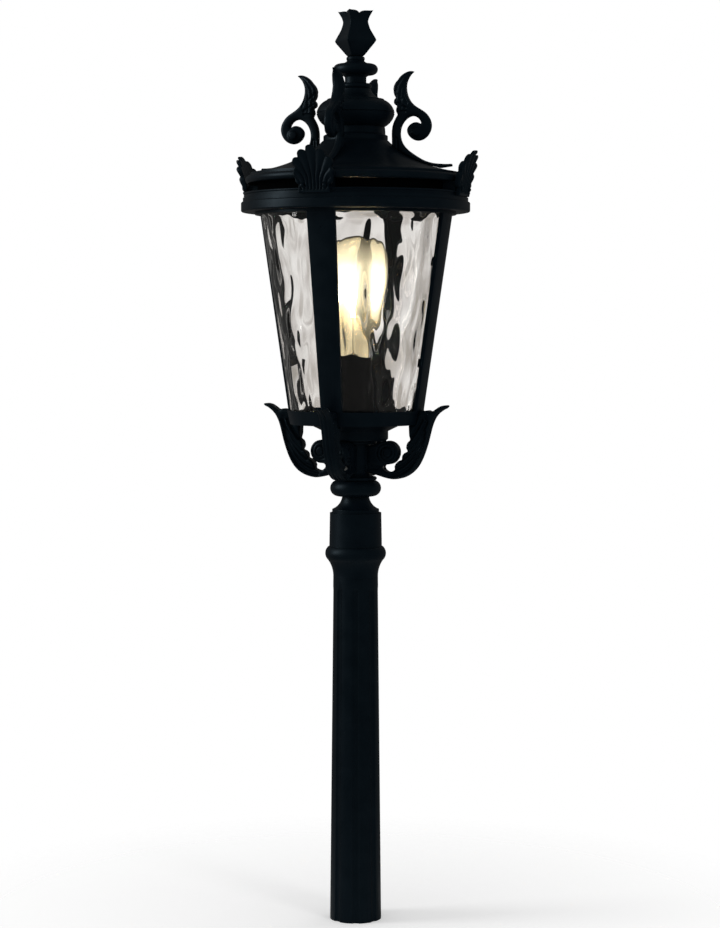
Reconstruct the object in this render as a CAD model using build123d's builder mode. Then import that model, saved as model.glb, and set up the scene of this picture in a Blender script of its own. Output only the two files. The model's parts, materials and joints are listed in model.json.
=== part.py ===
"""Outdoor post light: a glazed lantern on the top length of a fluted post.

Millimetres, +Z up, origin at the centre of the post's open lower end. The four corner
ornaments of every tier stand on the +X, +Y, -X and -Y sides, the glass between them.
"""
import os
from math import asin, atan, cos, degrees, radians, sin

from build123d import *

# Clearances
FIT_GAP = 0.2
RUN_GAP = 0.35

# Post
POST_LENGTH = 394.0
POST_FOOT_R = 29.7
POST_NECK_R = 25.8
POST_BORE_R = 21.3
FLUTE_COUNT = 8
FLUTE_TURN = 20.5
FLUTE_WIDTH = 8.6
FLUTE_DEPTH = 1.8
FLUTE_STOP = 11.0
SPIGOT_R = 22.6
SPIGOT_LENGTH = 10.5
FLARE_R = 31.6
FLARE_HEIGHT = 20.0
BEAD_R = 35.0
BEAD_HEIGHT = 15.5
TENON_R = 25.2
TENON_HEIGHT = 30.0
WIRE_BORE_R = 14.0

# Fitter collar and turned stem
COLLAR_FOOT_R = 30.3
COLLAR_HEAD_R = 29.6
COLLAR_HEIGHT = 39.0
COLLAR_ROOF = 4.0
COLLAR_RIM = 1.2
SET_SCREW_R = 2.5
SET_SCREW_RISE = 15.0
SET_SCREW_TURNS = (50.5, 170.5)
SET_SCREW_KEY = 2.5
TUBE_R = 6.4
TUBE_BORE_R = 4.6
TUBE_SPARE = 4.0
NUT_FLATS = 17.0
NUT_HEIGHT = 5.0
FOOT_R = 27.0
FOOT_BAND = 5.3
FOOT_HEIGHT = 20.2
FOOT_NECK_R = 15.5
KNOP_R = 29.3
KNOP_HEIGHT = 18.5
COLUMN_R = 16.0
COLUMN_RING_R = 22.5
COLUMN_RING = 4.0
COLUMN_SWEEP = 4.5
COLUMN_HEIGHT = 46.0
CUP_R = 37.5
CUP_RIM_R = 54.0
CUP_BAND = 10.4
CUP_HEIGHT = 18.4
CUP_WALL = 3.0

# Lower ring, a pan that the glass stands in
PAN_FOOT_R = 75.3
PAN_RIM_R = 79.0
PAN_HEIGHT = 16.1
PAN_FLOOR = 3.0
PAN_WALL = 2.5
DRAIN_R = 2.5
DRAIN_RING_R = 60.0

# Glass and struts
GLASS_HEAD_R = 108.1
GLASS_THICK = 4.0
GLASS_LAP = 6.0
STRUT_HEIGHT = 224.0
STRUT_THICK = 4.5
STRUT_FOOT_WIDTH = 25.0
STRUT_HEAD_WIDTH = 33.5
STRUT_ROUND = 0.8
WEB_WIDTH = 8.0
WEB_BEHIND = 1.0
CLIP_WIDTH = 24.0
CLIP_TALL = 10.0
CLIP_THICK = 1.2
CLIP_ROUND = 2.0
CLIP_RISES = (55.0, 170.0)

# Upper ring
FLANGE_LEDGE = 10.1
FLANGE_OUT = 2.7
FLANGE_DROP = 3.0
LIP_OUT = 4.5
LIP_HEIGHT = 11.5
LIP_ROUND = 2.0
LIP_FLOOR = 4.0
STEP_OUT = 2.3
STEP_HEIGHT = 4.5
RING_OUT = 18.9
MOULD_HEIGHT = 6.0
RING_WALL = 4.0
GALLERY_HEIGHT = 10.5
BLOCK_WIDTH = 36.0
BLOCK_DEPTH = 14.0

# Palmette leaves, lobes given as angle from upright and reach from the hub
LEAF_THICK = 5.0
LEAF_HEIGHT = 51.5
LEAF_BASE_WIDTH = 38.0
LEAF_BASE_HEIGHT = 9.0
LEAF_HUB = 12.0
LEAF_MID_LEAN = 4.5
LEAF_TIP_LEAN = 14.5
LEAF_LOBES = ((0, 39.5), (22, 37.0), (44, 34.5), (66, 29.5))
LEAF_VALLEY = 0.86
LEAF_GROOVE_R = 2.0
LEAF_GROOVE_DEPTH = 1.3
LEAF_GROOVE_START = 6.0

# Roof
RAIL_SETBACK = 0.5
RAIL_HEIGHT = 9.0
RAIL_NOSE = 3.0
EAVE_SETBACK = 6.0
EAVE_HEIGHT = 3.0
ROOF_RISE = 37.0
ROOF_TOP_R = 38.0
ROOF_LOW_R = 93.0
ROOF_LOW_RISE = 6.2
ROOF_MID_R = 63.0
ROOF_MID_RISE = 18.3
ROOF_THICK = 3.2
SKIRT_THICK = 2.5
SKIRT_DROP = 10.0

# Tie rod and bridge bar
ROD_R = 3.0
ROD_SPARE = 1.0
ROD_NUT_FLATS = 10.0
ROD_NUT_HEIGHT = 5.0
BRIDGE_WIDTH = 16.0
BRIDGE_THICK = 3.0
BRIDGE_LAP = 18.0
BRIDGE_TURN = 45.0

# Crown, turned pieces on the tie rod
PLATE_R = 37.0
PLATE_HEIGHT = 6.0
PLATE_BEVEL = 2.5
RECESS_R = 32.0
RECESS_HEIGHT = 10.0
URN_R = 44.8
URN_HEIGHT = 32.0
URN_SEAT_R = 32.2
URN_BOW_R = 41.8
URN_GROOVE = 1.2
URN_CAP_R = 34.4
URN_STEP = 1.6
SHOULDER_R = 32.8
SHOULDER_HEIGHT = 12.0
SHOULDER_TOP_R = 17.0
ASTRAGAL_R = 18.4
ASTRAGAL_HEIGHT = 6.0
NECK_R = 12.3
NECK_HEIGHT = 7.0
SAUCER_R = 25.6
SAUCER_HEIGHT = 19.0
SAUCER_RISE = 3.2
SAUCER_EDGE = 12.0
PIN_R = 9.8
PIN_HEIGHT = 8.0
PIN_BEAD_R = 10.6

# Finial bud: height above its seat and corner radius
BUD_SECTIONS = (
    (0, 9.5), (14.5, 23.0), (16.5, 24.4), (18.8, 23.2), (29.0, 16.9), (36.3, 14.6), (42.5, 16.2), (52.8, 21.4),
)
BUD_CUP_R = 13.5
BUD_CUP_DEPTH = 15.0
BUD_SCALLOP_R = 21.0
BUD_SCALLOP_DEPTH = 6.0
ROD_GRIP = 12.0

# Roof scrolls, points given from the foot of the stem on the roof's top
SCROLL_ARM = (
    (26.5, 77.0), (17.0, 62.0), (18.0, 51.0), (26.0, 39.3), (39.5, 30.3), (46.9, 16.0),
    (41.5, 3.0), (31.7, -1.5), (21.5, 3.0), (18.1, 11.5), (25.5, 19.2), (35.2, 16.1),
)
SCROLL_WAIST = (
    (35.2, 16.1), (31.5, 24.0), (25.3, 26.6), (15.5, 22.0), (9.7, 9.0),
    (12.5, -4.0), (24.7, -15.8), (45.7, -26.8), (71.5, -30.0),
)
SCROLL_TAIL = ((71.5, -30.0), (71.8, -31.4), (54.0, -33.5), (50.0, -45.0), (0.0, -25.0), (0.0, 0.0))
SCROLL_STEM = ((0.0, 0.0), (-0.2, 7.0), (0.7, 15.8), (3.7, 23.4), (7.2, 28.9))
SCROLL_LOBES = ((7.2, 28.9), (5.1, 32.5), (6.8, 38.8), (2.6, 43.5), (5.4, 47.7), (2.3, 58.5), (7.5, 68.0))
SCROLL_HORN = ((7.5, 68.0), (14.8, 75.6), (22.4, 77.9), (26.5, 77.0))
SCROLL_EYE = (30.5, 8.5)
SCROLL_THICK = 9.0
SCROLL_FOOT_R = 45.0
SCROLL_EYE_R = 5.0
SCROLL_EYE_RAISE = 1.6
SCROLL_ROUND = 1.6
SCROLL_SUNK = 18.0
SCROLL_SEAT_WIDTH = 12.0

# Legs
LEG_THICK = 16.0
LEG_ROUND = 2.4
VOLUTE_R = 13.5
VOLUTE_REACH = 24.3
VOLUTE_START = 95.0
VOLUTE_END = 110.0
VOLUTE_EYE_R = 5.0
VOLUTE_RAISE = 1.2

# Leg outline: points from the foot of the column, or from the lower edge of the ring
LEG_FOOT = ((-2.0, 9.5), (17.0, 4.8), (32.0, 2.0))
LEG_SWEEP = ((-4.5, -53.6), (7.5, -34.6), (14.2, -13.4), (20.7, 6.6), (28.0, 16.0), (35.5, 20.2))
LEG_HORN = ((36.2, 22.0), (28.4, 20.6), (22.7, 17.6), (18.0, 15.2))
LEG_TOP = (13.5, 17.0)
LEG_SHOULDER = 6.5
LEG_BACK = 8.8
LEG_SCALLOPS = ((-7.8, -17.4), (-11.5, -23.9), (-10.5, -30.4), (-15.3, -33.4), (-17.5, -39.9), (-23.0, -42.9))
LEG_NOOK = ((33.0, 13.0), (26.0, 10.2), (18.6, 15.3), (20.0, 17.8))
LEG_ROOT = ((6.0, 41.0), (-2.0, 39.0))

# Lamp holder
GASKET_THICK = 1.5
GASKET_R = 25.0
HOLDER_R = 22.5
HOLDER_FLANGE_R = 27.0
HOLDER_FLANGE = 2.5
HOLDER_WALL = 2.0
HOLDER_HEIGHT = 75.0
BODY_WALL = 5.4
BODY_HEIGHT = 56.0
BODY_HUB = 8.0
WELL_FLOOR = 18.0
SHELL_THICK = 0.7
SHELL_HEIGHT = 32.0
CONTACT_R = 4.0
CONTACT_HEIGHT = 2.0
LEAD_R = 1.1
LEAD_OFFSET = 2.2
LEAD_TAIL = 14.0

# Lamp
CAP_R = 13.0
CAP_HEIGHT = 25.0
CAP_WALL = 1.0
TIP_R = 3.5
TIP_HEIGHT = 1.2
INSULATOR_HEIGHT = 5.0
BULB_R = 30.0
BULB_NECK_R = 14.0
BULB_HEIGHT = 153.0
BULB_SWELL = 1.5
BULB_NECK_HEIGHT = 22.0
BULB_WALL = 1.2
MOUNT_FLARE = 3.0
MOUNT_HEIGHT = 58.0
MOUNT_ROD_R = 1.6
FILAMENT_R = 1.0
FILAMENT_LENGTH = 48.0
FILAMENT_COUNT = 4
HUB_R = 8.0
HUB_THICK = 1.5

# Screws
SCREW_R = 2.0
SCREW_HEAD_R = 3.6
SCREW_HEAD = 2.6
CORNER_SCREW_RISE = 4.4
CORNER_SCREW_LENGTH = 19.0
LEG_SCREW_RISE = 15.5
LEG_SCREW_LENGTH = 22.0
LEG_SCREW_DEPTH = 15.5
LEG_SCREW_HEAD_R = 2.8
LEG_SCREW_SUNK = 2.0
STRUT_SCREW_LENGTH = 18.0
LEAF_SCREW_SPACING = 26.0
LEAF_SCREW_RISE = 8.0
LEAF_SCREW_LENGTH = 12.0
LEAF_SCREW_HEAD_R = 2.6
SCROLL_SCREW_LENGTH = 20.0
SCROLL_SCREW_REACH = 5.0
CLIP_SCREW_R = 1.5
CLIP_SCREW_HEAD_R = 2.8
CLIP_SCREW_HEAD = 1.6
CLIP_SCREW_LENGTH = 6.5

# Share of the way to the wide end at the middle of a hollow curve, outward and along the axis
HOLLOW_IN = 0.3
HOLLOW_ALONG = 0.6

SIDES = {"right": 0, "back": 90, "left": 180, "front": 270}
PANES = {"back_right": 45, "back_left": 135, "front_left": 225, "front_right": 315}

# Levels, each one standing on the last
shaft_top = POST_LENGTH
bead_base = shaft_top + FLARE_HEIGHT
collar_base = bead_base + BEAD_HEIGHT
tenon_top = collar_base + TENON_HEIGHT
collar_top = collar_base + COLLAR_HEIGHT
foot_base = collar_top - COLLAR_RIM
collar_roof = foot_base - COLLAR_ROOF
knop_base = foot_base + FOOT_HEIGHT
column_base = knop_base + KNOP_HEIGHT
cup_base = column_base + COLUMN_HEIGHT
pan_base = cup_base + CUP_HEIGHT
pan_floor = pan_base + PAN_FLOOR
pan_top = pan_base + PAN_HEIGHT
strut_top = pan_top + STRUT_HEIGHT
lip_base = strut_top + FLANGE_DROP
ring_floor = lip_base + LIP_FLOOR
lip_top = lip_base + LIP_HEIGHT
step_top = lip_top + STEP_HEIGHT
mould_top = step_top + MOULD_HEIGHT
rail_base = mould_top + GALLERY_HEIGHT
rail_top = rail_base + RAIL_HEIGHT
eave_top = rail_top + EAVE_HEIGHT
roof_top = eave_top + ROOF_RISE
urn_base = roof_top + PLATE_HEIGHT + RECESS_HEIGHT
shoulder_base = urn_base + URN_HEIGHT
astragal_base = shoulder_base + SHOULDER_HEIGHT
neck_base = astragal_base + ASTRAGAL_HEIGHT
saucer_base = neck_base + NECK_HEIGHT
pin_base = saucer_base + SAUCER_HEIGHT
bud_base = pin_base + PIN_HEIGHT
bud_top = bud_base + BUD_SECTIONS[-1][0]
gasket_base = pan_floor
holder_base = gasket_base + GASKET_THICK
nut_seat = holder_base + HOLDER_FLANGE
body_base = nut_seat + NUT_HEIGHT + FIT_GAP
tube_top = body_base + BODY_HUB - FIT_GAP
well_base = body_base + WELL_FLOOR
tip_base = well_base + CONTACT_HEIGHT + RUN_GAP
cap_base = tip_base + TIP_HEIGHT + INSULATOR_HEIGHT
cap_top = cap_base + CAP_HEIGHT
bulb_top = cap_top + BULB_HEIGHT
tube_foot = collar_roof - NUT_HEIGHT - TUBE_SPARE

# Shared radii
collar_bore_r = TENON_R + RUN_GAP
stem_hole_r = TUBE_R + FIT_GAP
rod_hole_r = ROD_R + RUN_GAP
screw_hole_r = SCREW_R + FIT_GAP
pan_floor_r = PAN_FOOT_R + (PAN_RIM_R - PAN_FOOT_R) * PAN_FLOOR / PAN_HEIGHT - PAN_WALL
glass_foot = pan_floor + FIT_GAP
glass_head = strut_top - FIT_GAP
glass_foot_r = pan_floor_r - 2 * FIT_GAP
glass_slope = (GLASS_HEAD_R - glass_foot_r) / (glass_head - glass_foot)
strut_gap = FIT_GAP
web_depth = GLASS_THICK + WEB_BEHIND
mould_r = GLASS_HEAD_R + RING_OUT
step_r = mould_r + STEP_OUT
lip_r = mould_r + LIP_OUT
flange_r = GLASS_HEAD_R + strut_gap + STRUT_THICK + FLANGE_OUT
flange_bore_r = GLASS_HEAD_R - FLANGE_LEDGE
bridge_reach = flange_bore_r + BRIDGE_LAP
rail_r = mould_r - RAIL_SETBACK
eave_r = mould_r - EAVE_SETBACK
block_in_r = mould_r - BLOCK_DEPTH
skirt_r = block_in_r - 2 * RUN_GAP
well_r = HOLDER_R - HOLDER_WALL - FIT_GAP - BODY_WALL
shell_r = well_r - FIT_GAP
leaf_r = mould_r + FIT_GAP

# Places of the screws
corner_screw_level = pan_floor + CORNER_SCREW_RISE
corner_screw_seat = glass_foot_r - web_depth - FIT_GAP
leg_screw_level = column_base + LEG_SCREW_RISE
leg_screw_seat = COLUMN_R + LEG_SCREW_DEPTH
strut_screw_r = GLASS_HEAD_R
bridge_screw_r = bridge_reach - BRIDGE_WIDTH / 2
leaf_screw_level = step_top + LEAF_SCREW_RISE
leaf_screw_seat = leaf_r + LEAF_THICK
scroll_screw_r = SCROLL_FOOT_R + SCROLL_SCREW_REACH


def glass_r(level):
    """Outer radius of the glass cone at a level."""
    return glass_foot_r + glass_slope * (level - glass_foot)


def hollow(narrow, wide):
    """The middle point of a hollow curve between a narrow and a wide level of a turning."""
    return (
        narrow[0] + HOLLOW_IN * (wide[0] - narrow[0]),
        narrow[1] + HOLLOW_ALONG * (wide[1] - narrow[1]),
    )


def outline(*points):
    """A closed straight-sided profile in the plane through the lamp's axis."""
    with BuildSketch(Plane.XZ) as profile:
        with BuildLine():
            Polyline(*points, close=True)
        make_face()
    return profile.sketch


def facing(turn, level, reach=0.0):
    """A plane that looks outward at a turn about the axis, at a level and a reach."""
    out = Vector(cos(radians(turn)), sin(radians(turn)), 0)
    return Plane(origin=out * reach + Vector(0, 0, level), x_dir=(-out.Y, out.X, 0), z_dir=out)


def clip_plane(turn, level):
    """A plane on the inner face of a strut's web, square to the slope of the glass."""
    tilt = atan(glass_slope)
    out = Vector(cos(radians(turn)), sin(radians(turn)), 0)
    origin = out * (glass_r(level) - web_depth) + Vector(0, 0, level)
    return Plane(origin=origin, x_dir=(-out.Y, out.X, 0), z_dir=out * cos(tilt) - Vector(0, 0, sin(tilt)))


def save(piece, name):
    """Label a finished piece and write it under its node's name."""
    piece.label = name
    export_step(piece, f"parts/{name}.step")


def save_round(piece, name, places):
    """Write one copy of a piece for each named turn about the axis."""
    for place, turn in places.items():
        save(piece.rotate(Axis.Z, turn), f"{name}_{place}")


os.makedirs("parts", exist_ok=True)

# Post shaft: a tapered tube with rounded flutes that stop short of its top
socket_r = SPIGOT_R + FIT_GAP
socket_floor = shaft_top - SPIGOT_LENGTH - FIT_GAP
flute_r = (FLUTE_WIDTH**2 / 4 + FLUTE_DEPTH**2) / (2 * FLUTE_DEPTH)
flute_run = shaft_top - FLUTE_STOP - FLUTE_WIDTH / 2
with BuildPart() as post_shaft:
    revolve(
        outline(
            (POST_BORE_R, 0),
            (POST_FOOT_R, 0),
            (POST_NECK_R, shaft_top),
            (socket_r, shaft_top),
            (socket_r, socket_floor),
            (POST_BORE_R, socket_floor),
        ),
        axis=Axis.Z,
    )
    for n in range(FLUTE_COUNT):
        turn = radians(FLUTE_TURN + 360 * n / FLUTE_COUNT)
        out = Vector(cos(turn), sin(turn), 0)
        low = out * (POST_FOOT_R + flute_r - FLUTE_DEPTH)
        high = out * (POST_NECK_R + flute_r - FLUTE_DEPTH) + Vector(0, 0, shaft_top)
        along = (high - low).normalized()
        with BuildSketch(Plane(origin=low - along * FLUTE_WIDTH, z_dir=along)):
            Circle(flute_r)
        extrude(amount=FLUTE_WIDTH + flute_run, mode=Mode.SUBTRACT)
        with Locations(low + along * flute_run):
            Sphere(flute_r, mode=Mode.SUBTRACT)
save(post_shaft.part, "post_shaft")

# Post capital: flare and bead, with a spigot in the shaft and a tenon for the collar
with BuildPart() as post_capital:
    with BuildSketch(Plane.XZ):
        with BuildLine():
            Polyline(
                (POST_NECK_R, shaft_top),
                (SPIGOT_R, shaft_top),
                (SPIGOT_R, shaft_top - SPIGOT_LENGTH),
                (WIRE_BORE_R, shaft_top - SPIGOT_LENGTH),
                (WIRE_BORE_R, tenon_top),
                (TENON_R, tenon_top),
                (TENON_R, collar_base),
                (FLARE_R, collar_base),
            )
            ThreePointArc(
                (FLARE_R, collar_base),
                (BEAD_R, bead_base + BEAD_HEIGHT / 2),
                (FLARE_R, bead_base),
            )
            ThreePointArc(
                (FLARE_R, bead_base),
                hollow((POST_NECK_R, shaft_top), (FLARE_R, bead_base)),
                (POST_NECK_R, shaft_top),
            )
        make_face()
    revolve(axis=Axis.Z)
save(post_capital.part, "post_capital")

# Fitter collar: a cap that slips over the tenon, clamped by two headless screws
with BuildPart() as fitter_collar:
    revolve(
        outline(
            (collar_bore_r, collar_base),
            (COLLAR_FOOT_R, collar_base),
            (COLLAR_HEAD_R, collar_top),
            (FOOT_R + FIT_GAP, collar_top),
            (FOOT_R + FIT_GAP, foot_base),
            (stem_hole_r, foot_base),
            (stem_hole_r, collar_roof),
            (collar_bore_r, collar_roof),
        ),
        axis=Axis.Z,
    )
    for turn in SET_SCREW_TURNS:
        with BuildSketch(facing(turn, collar_base + SET_SCREW_RISE)):
            Circle(SET_SCREW_R + FIT_GAP)
        extrude(amount=COLLAR_FOOT_R, mode=Mode.SUBTRACT)
save(fitter_collar.part, "fitter_collar")

with BuildPart() as collar_screws:
    for turn in SET_SCREW_TURNS:
        with BuildSketch(facing(turn, collar_base + SET_SCREW_RISE, collar_bore_r)):
            Circle(SET_SCREW_R)
        extrude(amount=COLLAR_HEAD_R - collar_bore_r)
        with BuildSketch(facing(turn, collar_base + SET_SCREW_RISE, COLLAR_HEAD_R)):
            RegularPolygon(SET_SCREW_KEY / 2, 6, major_radius=False)
        extrude(amount=-SET_SCREW_KEY, mode=Mode.SUBTRACT)
save(collar_screws.part, "collar_screws")

# Turned stem: foot, knop and column, threaded on a tube with a nut at each end
with BuildPart() as stem_foot:
    with BuildSketch(Plane.XZ):
        with BuildLine():
            Polyline(
                (FOOT_NECK_R, knop_base),
                (stem_hole_r, knop_base),
                (stem_hole_r, foot_base),
                (FOOT_R, foot_base),
                (FOOT_R, foot_base + FOOT_BAND),
            )
            ThreePointArc(
                (FOOT_R, foot_base + FOOT_BAND),
                hollow((FOOT_NECK_R, knop_base), (FOOT_R, foot_base + FOOT_BAND)),
                (FOOT_NECK_R, knop_base),
            )
        make_face()
    revolve(axis=Axis.Z)
save(stem_foot.part, "stem_foot")

with BuildPart() as stem_knop:
    with BuildSketch(Plane.XZ):
        with BuildLine():
            Polyline(
                (KNOP_R - KNOP_HEIGHT / 2, column_base),
                (stem_hole_r, column_base),
                (stem_hole_r, knop_base),
                (KNOP_R - KNOP_HEIGHT / 2, knop_base),
            )
            ThreePointArc(
                (KNOP_R - KNOP_HEIGHT / 2, knop_base),
                (KNOP_R, knop_base + KNOP_HEIGHT / 2),
                (KNOP_R - KNOP_HEIGHT / 2, column_base),
            )
        make_face()
    revolve(axis=Axis.Z)
save(stem_knop.part, "stem_knop")

ring_top = column_base + COLUMN_RING
ring_under = cup_base - COLUMN_RING
with BuildPart() as stem_column:
    with BuildSketch(Plane.XZ):
        with BuildLine():
            Polyline((COLUMN_RING_R, cup_base), (stem_hole_r, cup_base), (stem_hole_r, column_base))
            Line((stem_hole_r, column_base), (COLUMN_RING_R, column_base))
            ThreePointArc(
                (COLUMN_RING_R, column_base),
                (COLUMN_RING_R + COLUMN_RING / 2, column_base + COLUMN_RING / 2),
                (COLUMN_RING_R, ring_top),
            )
            ThreePointArc(
                (COLUMN_RING_R, ring_top),
                hollow((COLUMN_R, ring_top + COLUMN_SWEEP), (COLUMN_RING_R, ring_top)),
                (COLUMN_R, ring_top + COLUMN_SWEEP),
            )
            Line((COLUMN_R, ring_top + COLUMN_SWEEP), (COLUMN_R, ring_under))
            Line((COLUMN_R, ring_under), (COLUMN_RING_R, ring_under))
            ThreePointArc(
                (COLUMN_RING_R, ring_under),
                (COLUMN_RING_R + COLUMN_RING / 2, ring_under + COLUMN_RING / 2),
                (COLUMN_RING_R, cup_base),
            )
        make_face()
    revolve(axis=Axis.Z)
    for turn in SIDES.values():
        with BuildSketch(facing(turn, leg_screw_level)):
            Circle(screw_hole_r)
        extrude(amount=COLUMN_RING_R, mode=Mode.SUBTRACT)
save(stem_column.part, "stem_column")

with BuildPart() as stem_tube:
    revolve(
        outline(
            (TUBE_BORE_R, tube_foot), (TUBE_R, tube_foot), (TUBE_R, tube_top), (TUBE_BORE_R, tube_top)
        ),
        axis=Axis.Z,
    )
save(stem_tube.part, "stem_tube")

with BuildPart() as stem_nuts:
    for level in (collar_roof - NUT_HEIGHT, nut_seat):
        with BuildSketch(Plane.XY.offset(level)):
            RegularPolygon(NUT_FLATS / 2, 6, major_radius=False)
            Circle(stem_hole_r, mode=Mode.SUBTRACT)
        extrude(amount=NUT_HEIGHT)
save(stem_nuts.part, "stem_nuts")

# Base cup: a hollow funnel under the pan
with BuildPart() as base_cup:
    revolve(
        outline(
            (stem_hole_r, cup_base),
            (CUP_R - CUP_WALL / 2, cup_base),
            (CUP_R, cup_base + CUP_WALL / 2),
            (CUP_R, cup_base + CUP_BAND),
            (CUP_RIM_R, pan_base),
            (CUP_RIM_R - 2 * CUP_WALL, pan_base),
            (CUP_R - CUP_WALL, cup_base + CUP_BAND + CUP_WALL / 2),
            (CUP_R - CUP_WALL, cup_base + CUP_WALL),
            (stem_hole_r, cup_base + CUP_WALL),
        ),
        axis=Axis.Z,
    )
save(base_cup.part, "base_cup")

# Lower ring: the pan, holed for the stem, the corner screws and rain water
with BuildPart() as lower_ring:
    revolve(
        outline(
            (stem_hole_r, pan_base),
            (PAN_FOOT_R, pan_base),
            (PAN_RIM_R, pan_top),
            (PAN_RIM_R - PAN_WALL, pan_top),
            (pan_floor_r, pan_floor),
            (stem_hole_r, pan_floor),
        ),
        axis=Axis.Z,
    )
    for turn in SIDES.values():
        with BuildSketch(facing(turn, corner_screw_level)):
            Circle(screw_hole_r)
        extrude(amount=PAN_RIM_R, mode=Mode.SUBTRACT)
    with BuildSketch(Plane.XY.offset(pan_base)):
        with PolarLocations(DRAIN_RING_R, len(PANES), start_angle=45):
            Circle(DRAIN_R)
    extrude(amount=PAN_FLOOR, mode=Mode.SUBTRACT)
save(lower_ring.part, "lower_ring")


# Legs: acanthus brackets that sweep from the column to the ring and end in a horn
def near(reach, rise):
    """A point of the leg's outline given from the foot of the column."""
    return (COLUMN_R + reach, column_base + rise)


def far(reach, rise):
    """A point of the leg's outline given from the lower edge of the ring."""
    return (PAN_FOOT_R + reach, pan_base + rise)


volute = (COLUMN_R + VOLUTE_REACH, cup_base - VOLUTE_R - FIT_GAP)


def on_volute(turn):
    """A point on the rim of the leg's volute."""
    return (volute[0] + VOLUTE_R * cos(radians(turn)), volute[1] + VOLUTE_R * sin(radians(turn)))


pan_seat = [
    (0, pan_base - FIT_GAP),
    (PAN_FOOT_R + FIT_GAP, pan_base - FIT_GAP),
    (PAN_RIM_R + FIT_GAP, pan_top),
    (PAN_RIM_R + FIT_GAP, strut_top),
    (0, strut_top),
]
with BuildPart() as leg:
    with BuildSketch(Plane.XZ):
        with BuildLine():
            sweep = [near(*p) for p in LEG_FOOT] + [far(*p) for p in LEG_SWEEP]
            horn = [far(*p) for p in LEG_HORN]
            seat = [far(*LEG_TOP), far(LEG_SHOULDER, PAN_HEIGHT), far(-LEG_BACK, PAN_HEIGHT), far(-LEG_BACK, 0)]
            scallops = [far(*p) for p in LEG_SCALLOPS] + [near(*p) for p in LEG_NOOK]
            scallops.append(on_volute(-VOLUTE_START))
            Spline(*sweep)
            Line(sweep[-1], horn[0])
            Spline(*horn)
            Polyline(horn[-1], *seat, scallops[0])
            for start, crest, end in zip(scallops[::2], scallops[1::2], scallops[2::2]):
                ThreePointArc(start, crest, end)
            ThreePointArc(on_volute(-VOLUTE_START), on_volute(0), on_volute(VOLUTE_END))
            Polyline(on_volute(VOLUTE_END), *[near(*p) for p in LEG_ROOT], sweep[0])
        make_face()
    extrude(amount=LEG_THICK / 2, both=True)
    fillet(leg.faces().filter_by(Axis.Y).edges().sort_by(SortBy.LENGTH)[-2:], LEG_ROUND)
    with BuildSketch(Plane.XZ):
        with Locations(volute):
            Circle(VOLUTE_EYE_R)
    extrude(amount=LEG_THICK / 2 + VOLUTE_RAISE, both=True)
    revolve(outline(*pan_seat), axis=Axis.Z, mode=Mode.SUBTRACT)
    with Locations((0, 0, column_base)):
        Cylinder(
            COLUMN_R + FIT_GAP,
            COLUMN_HEIGHT,
            align=(Align.CENTER, Align.CENTER, Align.MIN),
            mode=Mode.SUBTRACT,
        )
    with BuildSketch(facing(0, corner_screw_level)):
        Circle(screw_hole_r)
    extrude(amount=corner_screw_seat + CORNER_SCREW_LENGTH + FIT_GAP, mode=Mode.SUBTRACT)
    with BuildSketch(facing(0, leg_screw_level)):
        Circle(screw_hole_r)
    extrude(amount=leg_screw_seat, mode=Mode.SUBTRACT)
    with BuildSketch(facing(0, leg_screw_level, leg_screw_seat)):
        Circle(LEG_SCREW_HEAD_R + FIT_GAP)
    extrude(amount=SCREW_HEAD + LEG_SCREW_SUNK, mode=Mode.SUBTRACT)
save_round(leg.part, "leg", SIDES)

with BuildPart() as leg_screws:
    for turn in SIDES.values():
        with BuildSketch(facing(turn, leg_screw_level, leg_screw_seat)):
            Circle(LEG_SCREW_HEAD_R)
        extrude(amount=SCREW_HEAD)
        with BuildSketch(facing(turn, leg_screw_level, leg_screw_seat)):
            Circle(SCREW_R)
        extrude(amount=-LEG_SCREW_LENGTH)
save(leg_screws.part, "leg_screws")

with BuildPart() as corner_screws:
    for turn in SIDES.values():
        with BuildSketch(facing(turn, corner_screw_level, corner_screw_seat)):
            Circle(SCREW_HEAD_R)
        extrude(amount=-SCREW_HEAD)
        with BuildSketch(facing(turn, corner_screw_level, corner_screw_seat)):
            Circle(SCREW_R)
        extrude(amount=CORNER_SCREW_LENGTH)
save(corner_screws.part, "corner_screws")

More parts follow.
